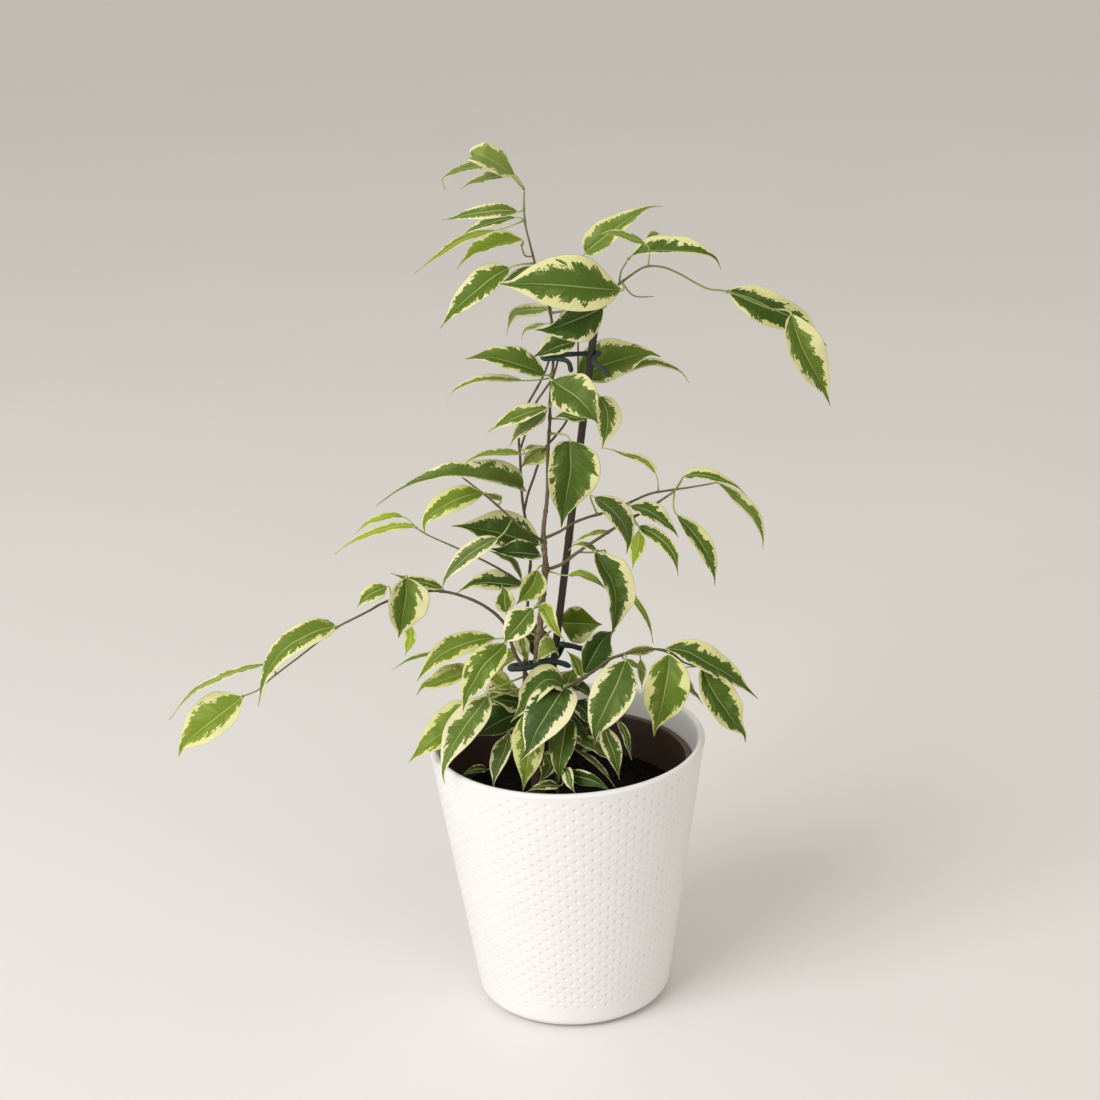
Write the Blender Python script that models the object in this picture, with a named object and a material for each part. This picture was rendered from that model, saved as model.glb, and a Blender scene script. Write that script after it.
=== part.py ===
# Potted variegated weeping fig, half a metre tall, in a dimpled white cover pot.
# The pot's axis is the upright line x = y = 0 and the viewer stands on the -Y side.
# Lengths are millimetres until a mesh is written, where they become metres.
import math

import bmesh
import bpy
from mathutils import Matrix, Vector

for old in list(bpy.data.objects):
    bpy.data.objects.remove(old, do_unlink=True)

# Driving sizes of the holders
MM = 0.001
GAP = 0.3
POT_RIM_R = 75.0
POT_H = 150.0
POT_FOOT_R = 52.7
POT_WALL = 4.0
POT_CORNER_R = 6.0
POT_FLOOR = 5.0
PAD_H = 1.5
PAD_R = 4.0
PAD_RING_R = 41.0
NURSERY_RIM_R = 67.6
NURSERY_RIM_Z = 136.0
NURSERY_WALL = 1.2
SOIL_TOP = 117.0
SOIL_DOME = 3.0
ROOT_DEPTH = 13.0
CANE_R = 2.1
CANE_FOOT_Z = 60.0
TIE_R = 1.5
STEPS_ROUND = 48

# The place the plant was measured from: points are read as they line up from here
EYE = Vector((-5.3, -1137.4, 663.5))


def sight(x, z, near=0.0):
    """A point that lines up with (x, 0, z) as seen from EYE, and stands `near` in front of that sheet."""
    seen = Vector((x, 0.0, z))
    return seen + (EYE - seen) * (near / -EYE.y)


def spline(points, count):
    """Even steps by arc length along a smooth curve through the points."""
    pts = [points[0] * 2 - points[1]] + list(points) + [points[-1] * 2 - points[-2]]
    fine = []
    for i in range(1, len(pts) - 2):
        p0, p1, p2, p3 = pts[i - 1 : i + 3]
        for j in range(12):
            t = j / 12
            fine.append(
                0.5 * (2 * p1 + (p2 - p0) * t + (2 * p0 - 5 * p1 + 4 * p2 - p3) * t * t
                       + (3 * p1 - p0 - 3 * p2 + p3) * t ** 3)
            )
    fine.append(pts[-2])
    lengths = [0.0]
    for a, b in zip(fine, fine[1:]):
        lengths.append(lengths[-1] + (b - a).length)
    out = []
    for i in range(count):
        want = lengths[-1] * i / (count - 1)
        k = min(max(j for j in range(len(lengths)) if lengths[j] <= want + 1e-9), len(fine) - 2)
        part = (want - lengths[k]) / max(lengths[k + 1] - lengths[k], 1e-9)
        out.append(fine[k].lerp(fine[k + 1], part))
    return out


def blend(values, t):
    """The value at t (0 to 1) along evenly spaced stops."""
    at = t * (len(values) - 1)
    k = min(int(at), len(values) - 2)
    return values[k] + (values[k + 1] - values[k]) * (at - k)


# Materials
def paint(name, colour, rough, coat=0.0):
    mat = bpy.data.materials.new(name)
    mat.use_nodes = True
    shader = mat.node_tree.nodes["Principled BSDF"]
    shader.inputs["Base Color"].default_value = (*colour, 1.0)
    shader.inputs["Roughness"].default_value = rough
    shader.inputs["Coat Weight"].default_value = coat
    mat.diffuse_color = (*colour, 1.0)
    return mat


# Every object is made at its own origin in millimetres and then set in place
PLANT = bpy.data.objects.new("plant", None)
bpy.context.scene.collection.objects.link(PLANT)
MADE = []


def add(name, verts, faces, origin=None, mat=None, smooth=False):
    origin = origin if origin is not None else Vector((0, 0, 0))
    mesh = bpy.data.meshes.new(name)
    mesh.from_pydata([tuple((v - origin) * MM) for v in verts], [], faces)
    bm = bmesh.new()
    bm.from_mesh(mesh)
    bmesh.ops.recalc_face_normals(bm, faces=bm.faces)
    bm.to_mesh(mesh)
    bm.free()
    if smooth:
        mesh.polygons.foreach_set("use_smooth", [True] * len(mesh.polygons))
    if mat is not None:
        mesh.materials.append(mat)
    ob = bpy.data.objects.new(name, mesh)
    bpy.context.scene.collection.objects.link(ob)
    ob.location = origin * MM
    MADE.append(ob)
    return ob


def shell(profile, steps=STEPS_ROUND):
    """Vertices and faces of a solid turned about the pot's axis; profile is a closed loop of (radius, z)."""
    verts, faces, ring_at = [], [], []
    for r, z in profile:
        if r < 1e-6:
            ring_at.append([len(verts)] * steps)
            verts.append(Vector((0, 0, z)))
            continue
        ring_at.append([len(verts) + i for i in range(steps)])
        for i in range(steps):
            a = 2 * math.pi * i / steps
            verts.append(Vector((r * math.cos(a), r * math.sin(a), z)))
    for k in range(len(profile)):
        one, two = ring_at[k], ring_at[(k + 1) % len(profile)]
        if one[0] == one[1] and two[0] == two[1]:
            continue
        for i in range(steps):
            j = (i + 1) % steps
            face = [one[i], one[j], two[j], two[i]]
            face = [v for n, v in enumerate(face) if v not in face[:n]]
            if len(face) > 2:
                faces.append(face)
    return verts, faces


def frames(points):
    """A tangent and a steady sideways direction for each point of a path."""
    tangents = []
    for i in range(len(points)):
        a = points[max(i - 1, 0)]
        b = points[min(i + 1, len(points) - 1)]
        tangents.append((b - a).normalized())
    side = tangents[0].cross(Vector((0.31, 0.17, 0.93)))
    if side.length < 0.2:
        side = tangents[0].cross(Vector((1, 0, 0)))
    sides = []
    for t in tangents:
        side = (side - t * side.dot(t)).normalized()
        sides.append(side.copy())
    return tangents, sides


def tube(points, radii, around=6):
    """Vertices and faces of a round rod with flat ends."""
    tangents, sides = frames(points)
    verts, faces = [], []
    for p, t, s, r in zip(points, tangents, sides, radii):
        other = t.cross(s)
        for i in range(around):
            a = 2 * math.pi * i / around
            verts.append(p + (s * math.cos(a) + other * math.sin(a)) * r)
    for k in range(len(points) - 1):
        for i in range(around):
            j = (i + 1) % around
            faces.append([k * around + i, k * around + j, (k + 1) * around + j, (k + 1) * around + i])
    faces.append(list(range(around))[::-1])
    last = (len(points) - 1) * around
    faces.append([last + i for i in range(around)])
    return verts, faces


def drop_scraps(bm):
    """Removes the flat scraps, two faces back to back, that a Boolean can leave on a body."""
    bmesh.ops.triangulate(bm, faces=bm.faces)
    bmesh.ops.remove_doubles(bm, verts=bm.verts, dist=0.000002)
    same = {}
    for face in bm.faces:
        same.setdefault(frozenset(face.verts), []).append(face)
    scraps = [face for group in same.values() if len(group) > 1 for face in group]
    bmesh.ops.delete(bm, geom=scraps, context="FACES")


def is_one_body(bm):
    """Whether every edge has two faces and all the faces hang together."""
    if any(len(edge.link_faces) != 2 for edge in bm.edges):
        return False
    left = set(bm.faces)
    reached = [left.pop()]
    while reached:
        for edge in reached.pop().edges:
            for other in edge.link_faces:
                if other in left:
                    left.remove(other)
                    reached.append(other)
    return not left


def work(kind, body, tool):
    """Joins the tool to the body, or cuts it away, and removes the tool."""
    tool.hide_render = True
    tool.display_type = "WIRE"
    bm = bmesh.new()
    bm.from_mesh(body.data)
    size = bm.calc_volume()
    bm.free()
    for solver, tangled in (("EXACT", False), ("EXACT", True), ("MANIFOLD", False)):
        mod = body.modifiers.new(kind.lower(), "BOOLEAN")
        mod.operation = kind
        mod.solver = solver
        mod.use_self = tangled
        mod.object = tool
        bpy.context.view_layer.update()
        seen = body.evaluated_get(bpy.context.evaluated_depsgraph_get())
        mesh = bpy.data.meshes.new_from_object(seen)
        body.modifiers.clear()
        bm = bmesh.new()
        bm.from_mesh(mesh)
        drop_scraps(bm)
        grown = kind != "UNION" or bm.calc_volume() > size
        good = grown and is_one_body(bm)
        bm.to_mesh(mesh)
        bm.free()
        if good:
            break
    else:
        print("not one body after", kind.lower(), "on", body.name)
    old = body.data
    mesh.name = old.name
    body.data = mesh
    bpy.data.meshes.remove(old)
    MADE.remove(tool)
    bpy.data.objects.remove(tool, do_unlink=True)


white_glaze = paint("white_glaze", (0.82, 0.82, 0.80), 0.32, 0.3)
black_rubber = paint("black_rubber", (0.02, 0.02, 0.02), 0.7)
brown_plastic = paint("brown_plastic", (0.045, 0.028, 0.02), 0.45)
dark_soil = paint("dark_soil", (0.022, 0.015, 0.011), 0.95)
cane_brown = paint("cane_brown", (0.035, 0.02, 0.015), 0.6)
tie_green = paint("tie_green", (0.012, 0.03, 0.024), 0.5)
bark = paint("bark", (0.22, 0.13, 0.075), 0.75)
leaf_green = paint("leaf_green", (0.07, 0.16, 0.035), 0.4)

# The cover pot: a tapered cup with a rounded foot corner and a rounded lip
slope = (POT_RIM_R - POT_FOOT_R) / POT_H


def pot_outer(z):
    return POT_FOOT_R + slope * z


lip = POT_WALL / 2
pot_profile = [(0.0, 0.0), (pot_outer(0) - POT_CORNER_R * 0.75, 0.0)]
for i in range(1, 5):
    a = math.radians(-90 + 18 * i)
    pot_profile.append((pot_outer(POT_CORNER_R) - POT_CORNER_R + POT_CORNER_R * math.cos(a),
                        POT_CORNER_R + POT_CORNER_R * math.sin(a)))
pot_profile += [(pot_outer(z), z) for z in (8.0, POT_H - lip)]
for i in range(1, 4):
    a = math.radians(45 * i)
    pot_profile.append((pot_outer(POT_H) - lip + lip * math.cos(a), POT_H - lip + lip * math.sin(a)))
pot_profile += [(pot_outer(z) - POT_WALL, z) for z in (POT_H - lip, 14.0)]
pot_profile += [(pot_outer(POT_FLOOR) - POT_WALL - 4.0, POT_FLOOR), (0.0, POT_FLOOR)]
cover_pot = add("cover_pot", *shell(pot_profile), mat=white_glaze, smooth=True)

# Three rubber pads under the pot, which is what it stands on
for pad_name, turn in (("pad_front", -90.0), ("pad_back_right", 30.0), ("pad_back_left", 150.0)):
    a = math.radians(turn)
    centre = Vector((PAD_RING_R * math.cos(a), PAD_RING_R * math.sin(a), -PAD_H))
    v, f = shell([(0.0, 0.0), (PAD_R, 0.0), (PAD_R, PAD_H - GAP), (0.0, PAD_H - GAP)], 20)
    add(pad_name, [p + centre for p in v], f, origin=centre, mat=black_rubber)

# The thin nursery pot that the fig grows in, with a rolled rim, standing inside the cover pot
n_foot_z = POT_FLOOR + GAP
n_foot_r = 45.5
n_slope = (NURSERY_RIM_R - 2.2 - n_foot_r) / (NURSERY_RIM_Z - n_foot_z)


def nursery_outer(z):
    return n_foot_r + n_slope * (z - n_foot_z)


nursery_profile = [
    (0.0, n_foot_z),
    (n_foot_r, n_foot_z),
    (nursery_outer(60.0), 60.0),
    (nursery_outer(NURSERY_RIM_Z - 5.0), NURSERY_RIM_Z - 5.0),
    (NURSERY_RIM_R - 0.3, NURSERY_RIM_Z - 4.6),
    (NURSERY_RIM_R, NURSERY_RIM_Z - 1.0),
    (NURSERY_RIM_R - 0.8, NURSERY_RIM_Z),
    (NURSERY_RIM_R - 2.4, NURSERY_RIM_Z),
    (nursery_outer(NURSERY_RIM_Z - 4.0) - NURSERY_WALL, NURSERY_RIM_Z - 4.0),
    (nursery_outer(60.0) - NURSERY_WALL, 60.0),
    (n_foot_r - NURSERY_WALL, n_foot_z + 1.5),
    (0.0, n_foot_z + 1.5),
]
add("nursery_pot", *shell(nursery_profile), mat=brown_plastic, smooth=True)


# Woody parts. Each path is a list of (point, radius)
def soil_root(x, y):
    """Two upright points that seat a stem in the soil."""
    return [Vector((x, y, SOIL_TOP - ROOT_DEPTH)), Vector((x, y, SOIL_TOP + 2.0))]


def stem(points, radii):
    """A path with even points and smoothly changing radius."""
    length = sum((b - a).length for a, b in zip(points, points[1:]))
    count = max(3, round(length / 9.0) + 1)
    line = spline(points, count)
    return line, [blend(radii, i / (count - 1)) for i in range(count)]


MAIN = stem(soil_root(-15, -3) + [
    sight(-15.5, 150, 3), sight(-15, 175, 3), sight(-14.5, 196, 2), sight(-12, 215, 1), sight(-10.5, 230, 0),
    sight(-8, 246, 0), sight(-8.5, 266, 0), sight(-7, 278, 0), sight(-5.5, 288.5, 0), sight(-5, 300, 0),
    sight(-4.5, 312, 0), sight(-3, 326, 0), sight(-2.5, 338, 0), sight(-1, 350, 0), sight(0, 362, 0),
    sight(0, 380, -1), sight(-3, 396, -1), sight(-7.6, 411, 0)], (2.2, 2.1, 1.9, 1.6, 1.1, 0.8, 0.7, 0.65))
LEFT_TWIG = stem([
    sight(-8.3, 261, 0), sight(-13, 265.5, 6), sight(-20.5, 271, 9), sight(-34.5, 285.5, 5),
    sight(-50, 299.5, 3)],
    (0.7, 0.6, 0.45))
SECOND = stem(soil_root(-24, 9) + [
    sight(-23, 160, -9), sight(-20.5, 200, -9), sight(-18, 230, -9), sight(-17, 243.5, -8),
    sight(-15.5, 253, -8),
    sight(-16.5, 265, -8), sight(-18, 278.5, -7), sight(-19, 289, -7), sight(-19, 308, -7),
    sight(-19, 325, -7),
    sight(-14, 337.5, -6), sight(-7.5, 348, -6), sight(-3.5, 357, -6), sight(0, 366, -6), sight(5, 385, -6)],
    (1.3, 1.1, 0.9, 0.8, 0.7, 0.6, 0.5))
SECOND_BACK = stem([
    sight(-18, 279, -7), sight(-15.5, 289.5, -7.5), sight(-11.5, 299.5, -8), sight(-9, 307, -8),
    sight(-5, 315, -8), sight(1, 321, -8), sight(8, 332, -10), sight(12, 350, -14), sight(13, 370, -15),
    sight(14, 390, -11), sight(16.5, 408, -5)], (0.7, 0.6, 0.5, 0.45))
SECOND_MID = stem([
    sight(-19, 313, -7), sight(-13, 328.5, -5), sight(-10, 337.5, -4.5), sight(-5.5, 344, -4.5),
    sight(0.5, 353, -3.5), sight(2.5, 361, -3), sight(6, 372, -4), sight(14, 385, -4), sight(24, 393, -3),
    sight(33, 397.5, 0)], (0.6, 0.55, 0.5))
LOW_LEFT = stem(soil_root(-19, -12) + [
    sight(-17.5, 160, 9), sight(-20.5, 186, 7), sight(-26, 198.5, 7), sight(-28.5, 207.5, 8),
    sight(-32, 218, 8),
    sight(-43.5, 228.5, 10), sight(-58.5, 235, 11), sight(-70, 236.5, 12), sight(-93, 231.5, 15),
    sight(-106.5, 224.5, 17), sight(-120, 218, 19), sight(-138.5, 204, 22), sight(-156, 191, 25),
    sight(-167, 182, 26), sight(-173.5, 180, 26)], (1.4, 1.2, 1.0, 0.8, 0.65, 0.5, 0.4))
LOW_SHOOT = stem(soil_root(-6, -14) + [sight(-6, 140, 17),
                  sight(-5, 152, 20), sight(-3, 160, 22)], (1.0, 0.8, 0.6))
LOW_SHOOT_LEFT = stem([sight(-5.7, 144, 18), sight(-14, 153, 21), sight(-24, 156, 24), sight(-31, 154, 25)],
                      (0.7, 0.6, 0.5))
LOW_SHOOT_RIGHT = stem([sight(-5.3, 149, 19), sight(4, 152, 22), sight(12, 154, 24), sight(20, 156, 24)],
                       (0.7, 0.6, 0.5))
RIGHT_LOW = stem([
    sight(-12, 166, 6), sight(-6, 172, 12), sight(1.5, 178.5, 15), sight(10, 183.5, 18),
    sight(17.5, 188.5, 20),
    sight(24, 193.5, 21), sight(30, 195.5, 21), sight(39, 198, 20), sight(50.5, 198.5, 19),
    sight(54, 198.5, 19),
    sight(59.5, 194.5, 18), sight(64, 190.5, 17), sight(72.5, 187.5, 14), sight(79.5, 186.5, 12)],
    (1.1, 0.9, 0.8, 0.6, 0.45))
RIGHT_MID = stem([
    sight(-6, 245, 2), sight(-2, 247.5, 5), sight(3, 250.5, 7), sight(9.5, 255.5, 8), sight(19.5, 262, 9),
    sight(30.5, 269, 9), sight(40, 274.5, 8), sight(46, 277, 6), sight(53, 282, 5), sight(59.5, 286.2, 6),
    sight(62.5, 290, 8), sight(65.5, 294.5, 8)], (0.95, 0.8, 0.65, 0.5))
RIGHT_MID_FORK = stem([sight(9.5, 255.3, 8), sight(18, 255, 9), sight(24, 256, 11)], (0.5, 0.4))
RIGHT_UP = stem([
    sight(-6, 263, 2), sight(0.5, 267.5, 5), sight(7, 271.5, 7), sight(15, 274.5, 7), sight(23, 276.5, 6),
    sight(36, 281, 4), sight(43.5, 285, 3), sight(49, 286.5, 2), sight(59.5, 288, 1), sight(69.5, 289, 0),
    sight(76, 290, 0), sight(82.5, 291, 0)], (0.8, 0.7, 0.6, 0.45))
LEFT_LOW = stem([
    sight(-12, 233, 1), sight(-21.5, 239.5, 3), sight(-33, 248, 6), sight(-46.5, 256, 9),
    sight(-55, 260.5, 10),
    sight(-63.5, 265, 11), sight(-70, 268.5, 12), sight(-75, 272, 14)], (0.7, 0.6, 0.5, 0.4))
TOP_LEFT = stem([
    sight(-8, 412.3, 0), sight(-9.5, 420, 1), sight(-11.5, 430, 2), sight(-12, 437.5, 3),
    sight(-11.5, 448.5, 4)],
    (0.6, 0.5, 0.4))
TOP_LEFT_FORK = stem([sight(-8.4, 414.5, 0.4), sight(-11, 414, 3), sight(-14, 417, 4), sight(-14, 420, 4)],
                     (0.45, 0.4))
TOP_RIGHT = stem([
    sight(34, 398.4, 0), sight(38.5, 401.5, 2), sight(48, 407, 4), sight(55, 407, 6), sight(63, 404, 8),
    sight(70, 400, 10), sight(78, 395, 12), sight(90, 392.5, 18), sight(103, 386.5, 22),
    sight(112, 382.5, 24)],
    (0.6, 0.5, 0.45, 0.4))
TOP_RIGHT_FORK = stem([sight(34.6, 398.8, 0.5), sight(34.8, 402, 0), sight(36, 405.5, 0),
                       sight(39.5, 411, 0)],
                      (0.45, 0.4))
TOP_RIGHT_STUB = stem([sight(36, 399.8, 0.9), sight(37, 394.5, 1), sight(41.5, 392.5, 1), sight(48, 391, 1),
                       sight(52.5, 391.5, 1)], (0.4, 0.3))


def nearest(paths, point):
    """The closest place on any of the paths: its distance, centre, direction along the path, radius, and
    whether it is the path's free end."""
    best = None
    for line, radii in paths:
        for k in range(len(line) - 1):
            a, b = line[k], line[k + 1]
            ab = b - a
            t = min(max((point - a).dot(ab) / ab.length_squared, 0.0), 1.0)
            q = a + ab * t
            d = (point - q).length
            if best is None or d < best[0]:
                r = radii[k] + (radii[k + 1] - radii[k]) * t
                best = (d, q, ab.normalized(), r, k == len(line) - 2 and t > 0.999)
    return best


def stand_off(paths, centre, toward, own_radius):
    """The start of a branch: walking out from the wood's centre, the first place just clear of the wood."""
    aim = (toward - centre).normalized()
    for step in range(200):
        place = centre + aim * (0.1 * step)
        far, _, along, radius, is_end = nearest(paths, place)
        across = aim.cross(along).length
        reach = (radius + own_radius) * across if is_end else radius + own_radius * abs(aim.dot(along))
        if far >= reach + GAP:
            return place
    return place


def grown_from(paths, path):
    """The path, with its first points moved to leave its parent just clear of the bark."""
    line, radii = path
    centre = nearest(paths, line[0])[1]
    start = stand_off(paths, centre, line[1], radii[0])
    return [start] + line[1:], radii


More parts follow.
